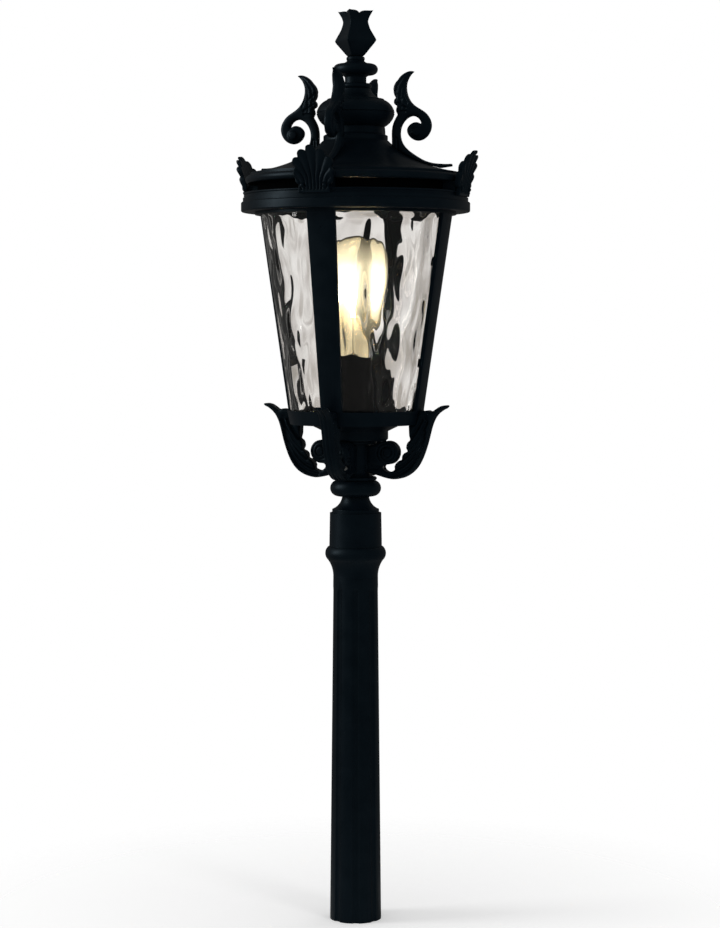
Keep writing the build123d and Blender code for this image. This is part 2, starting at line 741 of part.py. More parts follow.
# Struts: a curved face that the panes bear on, with a web between the panes
strut_foot_r = glass_r(pan_top) + strut_gap
strut_head_r = glass_r(strut_top) + strut_gap
with BuildPart() as strut:
    revolve(
        outline(
            (strut_foot_r, pan_top),
            (strut_foot_r + STRUT_THICK, pan_top),
            (strut_head_r + STRUT_THICK, strut_top),
            (strut_head_r, strut_top),
        ),
        axis=Axis.Z,
    )
    with BuildSketch(Plane.YZ):
        with BuildLine():
            Polyline(
                (-STRUT_FOOT_WIDTH / 2, pan_top),
                (STRUT_FOOT_WIDTH / 2, pan_top),
                (STRUT_HEAD_WIDTH / 2, strut_top),
                (-STRUT_HEAD_WIDTH / 2, strut_top),
                close=True,
            )
        make_face()
    extrude(amount=lip_r, mode=Mode.INTERSECT)
    fillet(strut.edges().sort_by(SortBy.LENGTH)[-4:].sort_by(Axis.X)[-2:], STRUT_ROUND)
    extrude(
        outline(
            (glass_r(glass_foot) - web_depth, glass_foot),
            (pan_floor_r - FIT_GAP, glass_foot),
            (pan_floor_r - FIT_GAP, pan_top),
            (strut_foot_r + STRUT_THICK / 2, pan_top),
            (strut_head_r + STRUT_THICK / 2, strut_top),
            (glass_r(strut_top) - web_depth, strut_top),
        ),
        amount=WEB_WIDTH / 2,
        both=True,
    )
    with BuildSketch(facing(0, corner_screw_level)):
        Circle(screw_hole_r)
    extrude(amount=PAN_RIM_R, mode=Mode.SUBTRACT)
    with BuildSketch(Plane.XY.offset(strut_top)):
        with Locations((strut_screw_r, 0)):
            Circle(screw_hole_r)
    extrude(amount=-STRUT_SCREW_LENGTH, mode=Mode.SUBTRACT)
    for rise in CLIP_RISES:
        with BuildSketch(clip_plane(0, pan_top + rise)):
            Circle(CLIP_SCREW_R + FIT_GAP)
        extrude(amount=CLIP_SCREW_LENGTH, mode=Mode.SUBTRACT)
save_round(strut.part, "strut", SIDES)

# Panes: curved sheets of glass from strut to strut
pane_gap = degrees(asin((STRUT_FOOT_WIDTH / 2 - GLASS_LAP) / glass_foot_r))
pane_arc = 360 / len(PANES) - 2 * pane_gap
with BuildPart() as pane:
    revolve(
        outline(
            (glass_foot_r - GLASS_THICK, glass_foot),
            (glass_foot_r, glass_foot),
            (GLASS_HEAD_R, glass_head),
            (GLASS_HEAD_R - GLASS_THICK, glass_head),
        ),
        axis=Axis.Z,
        revolution_arc=pane_arc,
    )
save_round(pane.part.rotate(Axis.Z, -pane_arc / 2), "pane", PANES)

# Clips: plates screwed on the webs that press the panes against the struts
with BuildPart() as glass_clips:
    for turn in SIDES.values():
        for rise in CLIP_RISES:
            with BuildSketch(clip_plane(turn, pan_top + rise)):
                RectangleRounded(CLIP_WIDTH, CLIP_TALL, CLIP_ROUND)
                Circle(CLIP_SCREW_R + FIT_GAP, mode=Mode.SUBTRACT)
            extrude(amount=-CLIP_THICK)
save(glass_clips.part, "glass_clips")

with BuildPart() as clip_screws:
    for turn in SIDES.values():
        for rise in CLIP_RISES:
            with BuildSketch(clip_plane(turn, pan_top + rise).offset(-CLIP_THICK)):
                Circle(CLIP_SCREW_HEAD_R)
            extrude(amount=-CLIP_SCREW_HEAD)
            with BuildSketch(clip_plane(turn, pan_top + rise).offset(-CLIP_THICK)):
                Circle(CLIP_SCREW_R)
            extrude(amount=CLIP_SCREW_LENGTH)
save(clip_screws.part, "clip_screws")

# Upper ring: lip, steps and wall round an open floor, with a block at each corner
with BuildPart() as upper_ring:
    with BuildSketch(Plane.XZ) as ring_section:
        with BuildLine():
            Polyline(
                (flange_bore_r, strut_top),
                (flange_r, strut_top),
                (flange_r, lip_base),
                (lip_r, lip_base),
                (lip_r, lip_top),
                (step_r, lip_top),
                (step_r, step_top),
                (mould_r, step_top),
                (mould_r, mould_top),
                (mould_r - RING_WALL, mould_top),
                (mould_r - RING_WALL, ring_floor),
                (flange_bore_r, ring_floor),
                close=True,
            )
        make_face()
        fillet(ring_section.vertices().group_by(Axis.X)[-1], LIP_ROUND)
    revolve(axis=Axis.Z)
    with BuildSketch(Plane.XY.offset(ring_floor)):
        Rectangle(2 * mould_r, BLOCK_WIDTH)
        Rectangle(BLOCK_WIDTH, 2 * mould_r)
        Circle(mould_r, mode=Mode.INTERSECT)
        Circle(block_in_r, mode=Mode.SUBTRACT)
    extrude(amount=rail_base - ring_floor)
    with BuildSketch(Plane.XY.offset(strut_top)):
        with PolarLocations(strut_screw_r, len(SIDES)):
            Circle(screw_hole_r)
        with PolarLocations(bridge_screw_r, 2, start_angle=BRIDGE_TURN):
            Circle(screw_hole_r)
    extrude(amount=ring_floor - strut_top, mode=Mode.SUBTRACT)
    for turn in SIDES.values():
        with BuildSketch(facing(turn, leaf_screw_level, leaf_screw_seat - LEAF_SCREW_LENGTH - FIT_GAP)):
            with GridLocations(LEAF_SCREW_SPACING, 0, 2, 1):
                Circle(screw_hole_r)
        extrude(amount=LEAF_SCREW_LENGTH, mode=Mode.SUBTRACT)
save(upper_ring.part, "upper_ring")

with BuildPart() as strut_screws:
    for radius, reach in ((SCREW_HEAD_R, SCREW_HEAD), (SCREW_R, FIT_GAP - STRUT_SCREW_LENGTH)):
        with BuildSketch(Plane.XY.offset(ring_floor)):
            with PolarLocations(strut_screw_r, len(SIDES)):
                Circle(radius)
        extrude(amount=reach)
save(strut_screws.part, "strut_screws")


# Palmette leaves: a sheet that leans outward, cut to lobes and grooved between them
def leaf_lean(rise):
    """How far the leaf's face has leaned out at a height above its base."""
    share = rise / LEAF_HEIGHT
    bow = 4 * LEAF_MID_LEAN - LEAF_TIP_LEAN
    return share * (bow + share * (LEAF_TIP_LEAN - bow))


def leaf_point(angle, reach):
    """A point of the leaf's outline, sideways and up, by angle and reach from its hub."""
    return (reach * sin(radians(angle)), LEAF_HUB + reach * cos(radians(angle)))


lobes = [(-angle, reach) for angle, reach in LEAF_LOBES[:0:-1]] + list(LEAF_LOBES)
valleys = [
    ((one[0] + two[0]) / 2, LEAF_VALLEY * (one[1] + two[1]) / 2) for one, two in zip(lobes, lobes[1:])
]
leaf_side = [LEAF_BASE_WIDTH / 2, LEAF_BASE_HEIGHT]
with BuildPart() as leaf:
    with BuildSketch(Plane.XZ):
        with BuildLine():
            back = [
                (leaf_r + leaf_lean(LEAF_HEIGHT * n / 4), step_top + LEAF_HEIGHT * n / 4) for n in range(5)
            ]
            front = [(radius + LEAF_THICK, level) for radius, level in back]
            Spline(*back)
            Spline(*front)
            Line(back[0], front[0])
            Line(back[-1], front[-1])
        make_face()
    revolve(axis=Axis.Z)
    with BuildSketch(Plane.YZ):
        with BuildLine():
            corners = [(-leaf_side[0], leaf_side[1])] + [leaf_point(*v) for v in valleys]
            corners += [(leaf_side[0], leaf_side[1])]
            raised = [(side, step_top + rise) for side, rise in corners]
            for start, lobe, end in zip(raised, lobes, raised[1:]):
                side, rise = leaf_point(*lobe)
                ThreePointArc(start, (side, step_top + rise), end)
            Polyline(
                raised[-1], (leaf_side[0], step_top), (-leaf_side[0], step_top), raised[0]
            )
        make_face()
    extrude(amount=2 * lip_r, mode=Mode.INTERSECT)
    for angle, reach in valleys:
        side, rise = leaf_point(angle, reach)
        low = Vector(leaf_r + LEAF_THICK + leaf_lean(LEAF_HUB), 0, step_top + LEAF_HUB)
        high = Vector(leaf_r + LEAF_THICK + leaf_lean(rise), side, step_top + rise)
        along = (high - low).normalized()
        lift = Vector(LEAF_GROOVE_R - LEAF_GROOVE_DEPTH, 0, 0)
        with BuildSketch(Plane(origin=low + lift + along * LEAF_GROOVE_START, z_dir=along)):
            Circle(LEAF_GROOVE_R)
        extrude(amount=LEAF_HEIGHT, mode=Mode.SUBTRACT)
    with BuildSketch(facing(0, leaf_screw_level, block_in_r)):
        with GridLocations(LEAF_SCREW_SPACING, 0, 2, 1):
            Circle(screw_hole_r)
    extrude(amount=lip_r, mode=Mode.SUBTRACT)
    with BuildSketch(facing(0, leaf_screw_level, leaf_screw_seat)):
        with GridLocations(LEAF_SCREW_SPACING, 0, 2, 1):
            Circle(LEAF_SCREW_HEAD_R + FIT_GAP)
    extrude(amount=lip_r, mode=Mode.SUBTRACT)
save_round(leaf.part, "leaf", SIDES)

with BuildPart() as leaf_screws:
    for turn in SIDES.values():
        seat = facing(turn, leaf_screw_level, leaf_screw_seat)
        with BuildSketch(seat):
            with GridLocations(LEAF_SCREW_SPACING, 0, 2, 1):
                Circle(SCREW_R)
        extrude(amount=-LEAF_SCREW_LENGTH)
        with Locations(seat):
            with GridLocations(LEAF_SCREW_SPACING, 0, 2, 1):
                Sphere(
                    LEAF_SCREW_HEAD_R,
                    arc_size1=0,
                    arc_size2=90,
                    align=(Align.CENTER, Align.CENTER, Align.MIN),
                )
save(leaf_screws.part, "leaf_screws")

# Bridge bar and tie rod: they hold the roof down
with BuildPart() as bridge_bar:
    with BuildSketch(Plane.XY.offset(ring_floor)):
        SlotOverall(2 * bridge_reach, BRIDGE_WIDTH, rotation=BRIDGE_TURN)
        Circle(ROD_R + FIT_GAP, mode=Mode.SUBTRACT)
        with PolarLocations(bridge_screw_r, 2, start_angle=BRIDGE_TURN):
            Circle(screw_hole_r, mode=Mode.SUBTRACT)
    extrude(amount=BRIDGE_THICK)
save(bridge_bar.part, "bridge_bar")

bridge_top = ring_floor + BRIDGE_THICK
with BuildPart() as bridge_screws:
    for radius, reach in ((SCREW_HEAD_R, SCREW_HEAD), (SCREW_R, strut_top - bridge_top)):
        with BuildSketch(Plane.XY.offset(bridge_top)):
            with PolarLocations(bridge_screw_r, 2, start_angle=BRIDGE_TURN):
                Circle(radius)
        extrude(amount=reach)
save(bridge_screws.part, "bridge_screws")

rod_foot = ring_floor - ROD_NUT_HEIGHT - ROD_SPARE
with BuildPart() as tie_rod:
    with BuildSketch(Plane.XY.offset(rod_foot)):
        Circle(ROD_R)
    extrude(amount=bud_base + ROD_GRIP - rod_foot)
save(tie_rod.part, "tie_rod")

with BuildPart() as rod_nuts:
    for level in (ring_floor - ROD_NUT_HEIGHT, bridge_top):
        with BuildSketch(Plane.XY.offset(level)):
            RegularPolygon(ROD_NUT_FLATS / 2, 6, major_radius=False)
            Circle(ROD_R + FIT_GAP, mode=Mode.SUBTRACT)
        extrude(amount=ROD_NUT_HEIGHT)
save(rod_nuts.part, "rod_nuts")


# Roof: a thin bell with a rounded rail, an eave step and a skirt inside the blocks
def roof_curve(lift):
    """Points of the bell from the eave to the top, raised by a lift."""
    return [
        (eave_r, eave_top + lift),
        (ROOF_LOW_R, eave_top + ROOF_LOW_RISE + lift),
        (ROOF_MID_R, eave_top + ROOF_MID_RISE + lift),
        (ROOF_TOP_R, roof_top + lift),
    ]


with BuildPart() as roof:
    with BuildSketch(Plane.XZ):
        with BuildLine():
            outer = roof_curve(0)
            inner = roof_curve(-ROOF_THICK)
            Spline(*outer)
            Polyline(
                outer[-1], (rod_hole_r, roof_top), (rod_hole_r, roof_top - ROOF_THICK), inner[-1]
            )
            Spline(*inner)
            Line(inner[0], outer[0])
        make_face()
    revolve(axis=Axis.Z)
    with BuildSketch(Plane.XZ):
        with BuildLine():
            Polyline(
                (rail_r - RAIL_NOSE, rail_top),
                (eave_r, rail_top),
                (eave_r, eave_top),
                (eave_r - EAVE_HEIGHT, eave_top),
                (skirt_r - SKIRT_THICK, rail_top),
                (skirt_r - SKIRT_THICK, rail_base - SKIRT_DROP),
                (skirt_r, rail_base - SKIRT_DROP),
                (skirt_r, rail_base),
                (rail_r - RAIL_NOSE, rail_base),
            )
            ThreePointArc(
                (rail_r - RAIL_NOSE, rail_base),
                (rail_r, (rail_base + rail_top) / 2),
                (rail_r - RAIL_NOSE, rail_top),
            )
        make_face()
    revolve(axis=Axis.Z)
    with BuildSketch(Plane.XZ):
        with BuildLine():
            middle = roof_curve(-ROOF_THICK / 2)
            Spline(*middle)
            Polyline(middle[-1], (ROOF_TOP_R, rail_base), (eave_r, rail_base), middle[0])
        make_face()
        with Locations((scroll_screw_r, roof_top - SCROLL_SUNK)):
            Rectangle(
                SCROLL_SEAT_WIDTH, ROOF_RISE, align=(Align.CENTER, Align.MIN), mode=Mode.INTERSECT
            )
    revolve(axis=Axis.Z)
    with BuildSketch(Plane.XY.offset(roof_top)):
        with PolarLocations(scroll_screw_r, len(SIDES)):
            Circle(screw_hole_r)
    extrude(amount=-SCROLL_SUNK, mode=Mode.SUBTRACT)
save(roof.part, "roof")


# Roof scrolls: a volute with a leafy horn above and a tail that runs down the roof
def curl(reach, rise):
    """A point of the scroll's outline given from the foot of its stem."""
    return (SCROLL_FOOT_R + reach, roof_top + rise)


with BuildPart() as scroll:
    with BuildSketch(Plane.XZ):
        with BuildLine():
            Spline(*[curl(*p) for p in SCROLL_ARM])
            Spline(*[curl(*p) for p in SCROLL_WAIST])
            Polyline(*[curl(*p) for p in SCROLL_TAIL])
            Spline(*[curl(*p) for p in SCROLL_STEM])
            for start, crest, end in zip(SCROLL_LOBES[::2], SCROLL_LOBES[1::2], SCROLL_LOBES[2::2]):
                ThreePointArc(curl(*start), curl(*crest), curl(*end))
            Spline(*[curl(*p) for p in SCROLL_HORN])
        make_face()
    extrude(amount=SCROLL_THICK / 2, both=True)
    fillet(scroll.faces().filter_by(Axis.Y).edges().sort_by(SortBy.LENGTH)[-4:], SCROLL_ROUND)
    with BuildSketch(Plane.XZ):
        with Locations(curl(*SCROLL_EYE)):
            Circle(SCROLL_EYE_R)
    extrude(amount=SCROLL_THICK / 2 + SCROLL_EYE_RAISE, both=True)
    with BuildSketch(Plane.XZ):
        with BuildLine():
            shell = roof_curve(FIT_GAP)
            Spline(*shell)
            Polyline(shell[-1], (0, roof_top + FIT_GAP), (0, rail_base), (eave_r, rail_base), shell[0])
        make_face()
    revolve(axis=Axis.Z, mode=Mode.SUBTRACT)
    with BuildSketch(Plane.XY.offset(roof_top - SCROLL_SUNK)):
        with Locations((scroll_screw_r, 0)):
            Circle(screw_hole_r)
    extrude(amount=SCROLL_SCREW_LENGTH + FIT_GAP, mode=Mode.SUBTRACT)
save_round(scroll.part, "scroll", SIDES)

with BuildPart() as scroll_screws:
    with BuildSketch(Plane.XY.offset(roof_top - SCROLL_SUNK)):
        with PolarLocations(scroll_screw_r, len(SIDES)):
            Circle(SCREW_R)
    extrude(amount=SCROLL_SCREW_LENGTH)
    with BuildSketch(Plane.XY.offset(roof_top - SCROLL_SUNK)):
        with PolarLocations(scroll_screw_r, len(SIDES)):
            Circle(SCREW_HEAD_R)
    extrude(amount=-SCREW_HEAD)
save(scroll_screws.part, "scroll_screws")

# Crown: turned pieces threaded on the tie rod
with BuildPart() as crown_base:
    revolve(
        outline(
            (rod_hole_r, roof_top),
            (PLATE_R, roof_top),
            (PLATE_R, roof_top + PLATE_HEIGHT),
            (RECESS_R, roof_top + PLATE_HEIGHT + PLATE_BEVEL),
            (RECESS_R, urn_base),
            (rod_hole_r, urn_base),
        ),
        axis=Axis.Z,
    )
save(crown_base.part, "crown_base")

groove_base = urn_base + (URN_HEIGHT - URN_GROOVE) / 2
with BuildPart() as crown_urn:
    with BuildSketch(Plane.XZ):
        with BuildLine():
            Polyline(
                (SHOULDER_TOP_R, astragal_base),
                (rod_hole_r, astragal_base),
                (rod_hole_r, urn_base),
                (URN_SEAT_R, urn_base),
            )
            ThreePointArc((URN_SEAT_R, urn_base), (URN_BOW_R, urn_base + URN_HEIGHT / 4), (URN_R, groove_base))
            Polyline(
                (URN_R, groove_base),
                (URN_R - URN_GROOVE, groove_base),
                (URN_R - URN_GROOVE, groove_base + URN_GROOVE),
                (URN_R, groove_base + URN_GROOVE),
            )
            ThreePointArc(
                (URN_R, groove_base + URN_GROOVE),
                (URN_BOW_R, shoulder_base - URN_HEIGHT / 4),
                (URN_CAP_R, shoulder_base - URN_STEP),
            )
            Polyline(
                (URN_CAP_R, shoulder_base - URN_STEP),
                (SHOULDER_R, shoulder_base - URN_STEP),
                (SHOULDER_R, shoulder_base),
            )
            ThreePointArc(
                (SHOULDER_R, shoulder_base),
                hollow((SHOULDER_TOP_R, astragal_base), (SHOULDER_R, shoulder_base)),
                (SHOULDER_TOP_R, astragal_base),
            )
        make_face()
    revolve(axis=Axis.Z)
save(crown_urn.part, "crown_urn")

saucer_low = saucer_base + SAUCER_RISE
saucer_edge_r = SAUCER_R - SAUCER_EDGE / 2
with BuildPart() as crown_neck:
    with BuildSketch(Plane.XZ):
        with BuildLine():
            Polyline(
                (PIN_R, bud_base),
                (rod_hole_r, bud_base),
                (rod_hole_r, astragal_base),
                (ASTRAGAL_R - ASTRAGAL_HEIGHT / 2, astragal_base),
            )
            ThreePointArc(
                (ASTRAGAL_R - ASTRAGAL_HEIGHT / 2, astragal_base),
                (ASTRAGAL_R, astragal_base + ASTRAGAL_HEIGHT / 2),
                (ASTRAGAL_R - ASTRAGAL_HEIGHT / 2, neck_base),
            )
            Polyline(
                (ASTRAGAL_R - ASTRAGAL_HEIGHT / 2, neck_base), (NECK_R, neck_base), (NECK_R, saucer_base)
            )
            ThreePointArc(
                (NECK_R, saucer_base),
                hollow((NECK_R, saucer_base), (saucer_edge_r, saucer_low)),
                (saucer_edge_r, saucer_low),
            )
            ThreePointArc(
                (saucer_edge_r, saucer_low),
                (SAUCER_R, saucer_low + SAUCER_EDGE / 2),
                (saucer_edge_r, saucer_low + SAUCER_EDGE),
            )
            ThreePointArc(
                (saucer_edge_r, saucer_low + SAUCER_EDGE),
                hollow((PIN_R, pin_base), (saucer_edge_r, saucer_low + SAUCER_EDGE)),
                (PIN_R, pin_base),
            )
            ThreePointArc((PIN_R, pin_base), (PIN_BEAD_R, (pin_base + bud_base) / 2), (PIN_R, bud_base))
        make_face()
    revolve(axis=Axis.Z)
save(crown_neck.part, "crown_neck")

# Finial: a four-sided bud that opens into petals and screws on the tie rod
with BuildPart() as finial:
    for rise, corner_r in BUD_SECTIONS:
        with BuildSketch(Plane.XY.offset(bud_base + rise)):
            RegularPolygon(corner_r, 4)
    loft(ruled=True)
    with Locations((0, 0, bud_top - BUD_CUP_DEPTH)):
        Cone(
            0,
            BUD_CUP_R,
            BUD_CUP_DEPTH,
            align=(Align.CENTER, Align.CENTER, Align.MIN),
            mode=Mode.SUBTRACT,
        )
    for turn in PANES.values():
        with BuildSketch(facing(turn, bud_top + BUD_SCALLOP_R - BUD_SCALLOP_DEPTH)):
            Circle(BUD_SCALLOP_R)
        extrude(amount=BUD_SECTIONS[-1][1], mode=Mode.SUBTRACT)
    with BuildSketch(Plane.XY.offset(bud_base)):
        Circle(rod_hole_r)
    extrude(amount=ROD_GRIP + 2 * RUN_GAP, mode=Mode.SUBTRACT)
save(finial.part, "finial")

# Lamp holder
with BuildPart() as holder_gasket:
    revolve(
        outline(
            (stem_hole_r, gasket_base),
            (GASKET_R, gasket_base),
            (GASKET_R, holder_base),
            (stem_hole_r, holder_base),
        ),
        axis=Axis.Z,
    )
save(holder_gasket.part, "holder_gasket")

holder_top = holder_base + HOLDER_HEIGHT
with BuildPart() as holder_cover:
    revolve(
        outline(
            (stem_hole_r, holder_base),
            (HOLDER_FLANGE_R, holder_base),
            (HOLDER_FLANGE_R, nut_seat),
            (HOLDER_R, nut_seat),
            (HOLDER_R, holder_top),
            (HOLDER_R - HOLDER_WALL, holder_top),
            (HOLDER_R - HOLDER_WALL, nut_seat),
            (stem_hole_r, nut_seat),
        ),
        axis=Axis.Z,
    )
save(holder_cover.part, "holder_cover")

body_r = HOLDER_R - HOLDER_WALL - FIT_GAP
body_top = body_base + BODY_HEIGHT
with BuildPart() as holder_body:
    revolve(
        outline(
            (stem_hole_r, body_base),
            (body_r, body_base),
            (body_r, body_top),
            (well_r, body_top),
            (well_r, well_base),
            (0, well_base),
            (0, body_base + BODY_HUB),
            (stem_hole_r, body_base + BODY_HUB),
        ),
        axis=Axis.Z,
    )
save(holder_body.part, "holder_body")

with BuildPart() as holder_shell:
    revolve(
        outline(
            (shell_r - SHELL_THICK, well_base),
            (shell_r, well_base),
            (shell_r, well_base + SHELL_HEIGHT),
            (shell_r - SHELL_THICK, well_base + SHELL_HEIGHT),
        ),
        axis=Axis.Z,
    )
save(holder_shell.part, "holder_shell")

with BuildPart() as holder_contact:
    with BuildSketch(Plane.XY.offset(well_base)):
        Circle(CONTACT_R)
    extrude(amount=CONTACT_HEIGHT)
save(holder_contact.part, "holder_contact")

with BuildPart() as lead_wires:
    with BuildSketch(Plane.XY.offset(tube_foot - LEAD_TAIL)):
        with GridLocations(2 * LEAD_OFFSET, 0, 2, 1):
            Circle(LEAD_R)
    extrude(amount=body_base + BODY_HUB - tube_foot + LEAD_TAIL)
save(lead_wires.part, "lead_wires")


# Lamp: glass envelope, screw cap, contact end, glass mount and filaments
def envelope(inset):
    """The lamp's half outline, drawn in by an inset."""
    crown_level = bulb_top - BULB_R
    with BuildSketch(Plane.XZ) as half:
        with BuildLine():
            Polyline((0, bulb_top - inset), (0, cap_top), (BULB_NECK_R - inset, cap_top))
            Spline(
                (BULB_NECK_R - inset, cap_top),
                (BULB_NECK_R - inset + BULB_SWELL, cap_top + BULB_NECK_HEIGHT),
                (BULB_R - inset, crown_level),
                tangents=((0, 1), (0, 1)),
            )
            ThreePointArc(
                (BULB_R - inset, crown_level),
                ((BULB_R - inset) * cos(radians(45)), crown_level + (BULB_R - inset) * sin(radians(45))),
                (0, bulb_top - inset),
            )
        make_face()
    return half.sketch


with BuildPart() as bulb_glass:
    revolve(envelope(0), axis=Axis.Z)
    revolve(envelope(BULB_WALL), axis=Axis.Z, mode=Mode.SUBTRACT)
save(bulb_glass.part, "bulb_glass")

with BuildPart() as bulb_cap:
    revolve(
        outline(
            (CAP_R - CAP_WALL, cap_base),
            (CAP_R, cap_base),
            (CAP_R, cap_top),
            (CAP_R - CAP_WALL, cap_top),
        ),
        axis=Axis.Z,
    )
save(bulb_cap.part, "bulb_cap")

with BuildPart() as bulb_contact:
    revolve(
        outline(
            (0, tip_base),
            (TIP_R, tip_base),
            (TIP_R, tip_base + TIP_HEIGHT),
            (CAP_R, cap_base),
            (0, cap_base),
        ),
        axis=Axis.Z,
    )
save(bulb_contact.part, "bulb_contact")

mount_top = cap_top + MOUNT_HEIGHT
hub_under = mount_top + HUB_THICK + FILAMENT_LENGTH
with BuildPart() as bulb_mount:
    revolve(
        outline(
            (0, cap_top),
            (BULB_NECK_R - BULB_WALL - FIT_GAP, cap_top),
            (MOUNT_ROD_R + MOUNT_FLARE, cap_top + MOUNT_HEIGHT / 4),
            (MOUNT_ROD_R, mount_top),
            (HUB_R, mount_top),
            (HUB_R, mount_top + HUB_THICK),
            (MOUNT_ROD_R, mount_top + HUB_THICK),
            (MOUNT_ROD_R, hub_under),
            (HUB_R, hub_under),
            (HUB_R, hub_under + HUB_THICK),
            (0, hub_under + HUB_THICK),
        ),
        axis=Axis.Z,
    )
save(bulb_mount.part, "bulb_mount")

with BuildPart() as bulb_filaments:
    with BuildSketch(Plane.XY.offset(mount_top + HUB_THICK)):
        with PolarLocations(HUB_R - 2 * FILAMENT_R, FILAMENT_COUNT):
            Circle(FILAMENT_R)
    extrude(amount=FILAMENT_LENGTH)
save(bulb_filaments.part, "bulb_filaments")
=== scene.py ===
# %% [markdown]
# # An outdoor post light
# A traditional street lantern in miniature: a fluted post, a turned stem with four leafy legs, a tapering
# glass body between four straight struts, and a bell roof with scrolls and a bud on top. The solids come
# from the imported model, and this lesson dresses them: it eases their edges, carves the ornaments, ripples
# the glass and gives each piece its finish. Lengths that meet the factor MM are in millimetres. Measures
# in the finishes, and the places of the camera, the floor and the lamps, are in metres.

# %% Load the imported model
import json
import math
import bmesh
import bpy
from mathutils import Matrix, Vector, kdtree, noise


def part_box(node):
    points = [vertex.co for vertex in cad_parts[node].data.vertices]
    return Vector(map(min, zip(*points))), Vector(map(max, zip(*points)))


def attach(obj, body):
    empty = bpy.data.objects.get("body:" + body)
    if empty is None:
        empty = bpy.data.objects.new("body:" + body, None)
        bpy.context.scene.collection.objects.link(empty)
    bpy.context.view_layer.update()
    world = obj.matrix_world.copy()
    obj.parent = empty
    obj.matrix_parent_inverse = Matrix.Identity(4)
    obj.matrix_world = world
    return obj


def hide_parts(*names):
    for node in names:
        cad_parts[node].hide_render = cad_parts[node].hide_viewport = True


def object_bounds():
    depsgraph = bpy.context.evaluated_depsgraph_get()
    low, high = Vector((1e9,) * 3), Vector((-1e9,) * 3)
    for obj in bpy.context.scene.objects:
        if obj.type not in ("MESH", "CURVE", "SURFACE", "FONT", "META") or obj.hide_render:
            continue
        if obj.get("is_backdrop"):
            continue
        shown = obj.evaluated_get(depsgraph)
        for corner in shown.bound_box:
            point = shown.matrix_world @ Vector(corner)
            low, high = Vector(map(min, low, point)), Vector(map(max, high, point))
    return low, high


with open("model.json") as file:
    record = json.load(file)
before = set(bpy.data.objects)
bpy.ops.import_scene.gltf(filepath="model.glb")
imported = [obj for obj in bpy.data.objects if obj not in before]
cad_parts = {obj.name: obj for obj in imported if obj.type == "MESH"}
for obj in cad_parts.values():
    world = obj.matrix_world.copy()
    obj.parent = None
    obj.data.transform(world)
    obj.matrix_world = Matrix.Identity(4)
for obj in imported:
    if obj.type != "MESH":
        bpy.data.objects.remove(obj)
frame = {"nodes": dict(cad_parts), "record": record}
cad_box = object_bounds()
MM = 0.001
record = frame["record"]
body_of_node = {n: b for b, members in record["behaviour"]["bodies"].items() for n in members}
slot_of_node = {s["node"]: s["material_slot"] for s in record["subparts"]}
SIDES = {"right": 0, "back": 90, "left": 180, "front": 270}
PANES = {"back_right": 45, "back_left": 135, "front_left": 225, "front_right": 315}
print(len(frame["nodes"]), "nodes, height", round(cad_box[1].z, 4))

# %% [markdown]
# ## Camera first
# The picture was taken from a little to the right of the front strut, with the eye at about the middle of
# the glass. A camera can be set by eye, but a focal length in pixels, a horizon row and the column of the
# post's axis can be read off a picture, and a formula then gives the rest. A long lens from over two and
# a half metres keeps the perspective gentle. Part of the framing is lens shift, which keeps the post
# upright, and part is a small tilt downward.

# %% The camera
PICTURE_WIDTH, PICTURE_HEIGHT, SENSOR = 720, 928, 36
AZIMUTH = math.radians(20.5)
DISTANCE, EYE_HEIGHT = 2.633, 0.6877
FOCAL_PX, HORIZON_ROW, AXIS_COLUMN = 2290, 322, 355.6
SHIFT = -0.10
tilt = math.atan((PICTURE_HEIGHT / 2 - HORIZON_ROW + SHIFT * PICTURE_HEIGHT) / FOCAL_PX)
pan = math.atan((PICTURE_WIDTH / 2 - AXIS_COLUMN) / FOCAL_PX)
lens = bpy.data.cameras.new("photo_camera")
lens.sensor_width = SENSOR
lens.lens = SENSOR * FOCAL_PX / PICTURE_HEIGHT
lens.shift_y = SHIFT
camera = bpy.data.objects.new("photo_camera", lens)
camera.location = (math.sin(AZIMUTH) * DISTANCE, -math.cos(AZIMUTH) * DISTANCE, EYE_HEIGHT)
camera.rotation_euler = (math.radians(90) - tilt, 0, AZIMUTH - pan)
bpy.context.scene.collection.objects.link(camera)
bpy.context.scene.camera = camera
bpy.context.scene.view_settings.view_transform = "Standard"
print("lens", round(lens.lens, 1), "mm, tilt", round(math.degrees(tilt), 2), "degrees")

# %% [markdown]
# ## Helpers for pieces
# Every piece is linked to the scene and rides on the body of the node it stands for. Smooth shading with
# sharp edges by angle lets a turned form look round and keeps its steps. Each piece could be set up by
# hand, but that invites slips, so one short function does it for all of them.

# %% Adding a piece
def finished(bm, name):
    """Makes a mesh of a bmesh that is done with."""
    mesh = bpy.data.meshes.new(name)
    bm.to_mesh(mesh)
    bm.free()
    return mesh


def add_piece(name, mesh, node, sharp=35, extra=False):
    """Puts a piece in the place of a node or, where it is extra, beside it."""
    piece = bpy.data.objects.new(name, mesh)
    bpy.context.scene.collection.objects.link(piece)
    mesh.polygons.foreach_set("use_smooth", [True] * len(mesh.polygons))
    mesh.set_sharp_from_angle(angle=math.radians(sharp))
    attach(piece, body_of_node[node])
    if not extra:
        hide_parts(node)
    return piece


print("bodies:", ", ".join(sorted(set(body_of_node.values()))))

# %% [markdown]
# ## Eased edges
# Cast and turned metal never has knife edges: the mould and the powder coat leave a small radius that
# catches a line of light. Every edge could be rounded in the solids, but that makes them heavy, so the
# radius is added here. A merged copy of each plain solid gets its flat triangles dissolved into whole
# faces, and a narrow bevel on every edge that turns more than forty degrees.

# %% Ease the plain solids
EASE, EASE_ANGLE, FLAT_ANGLE = 0.35, math.radians(40), math.radians(1)


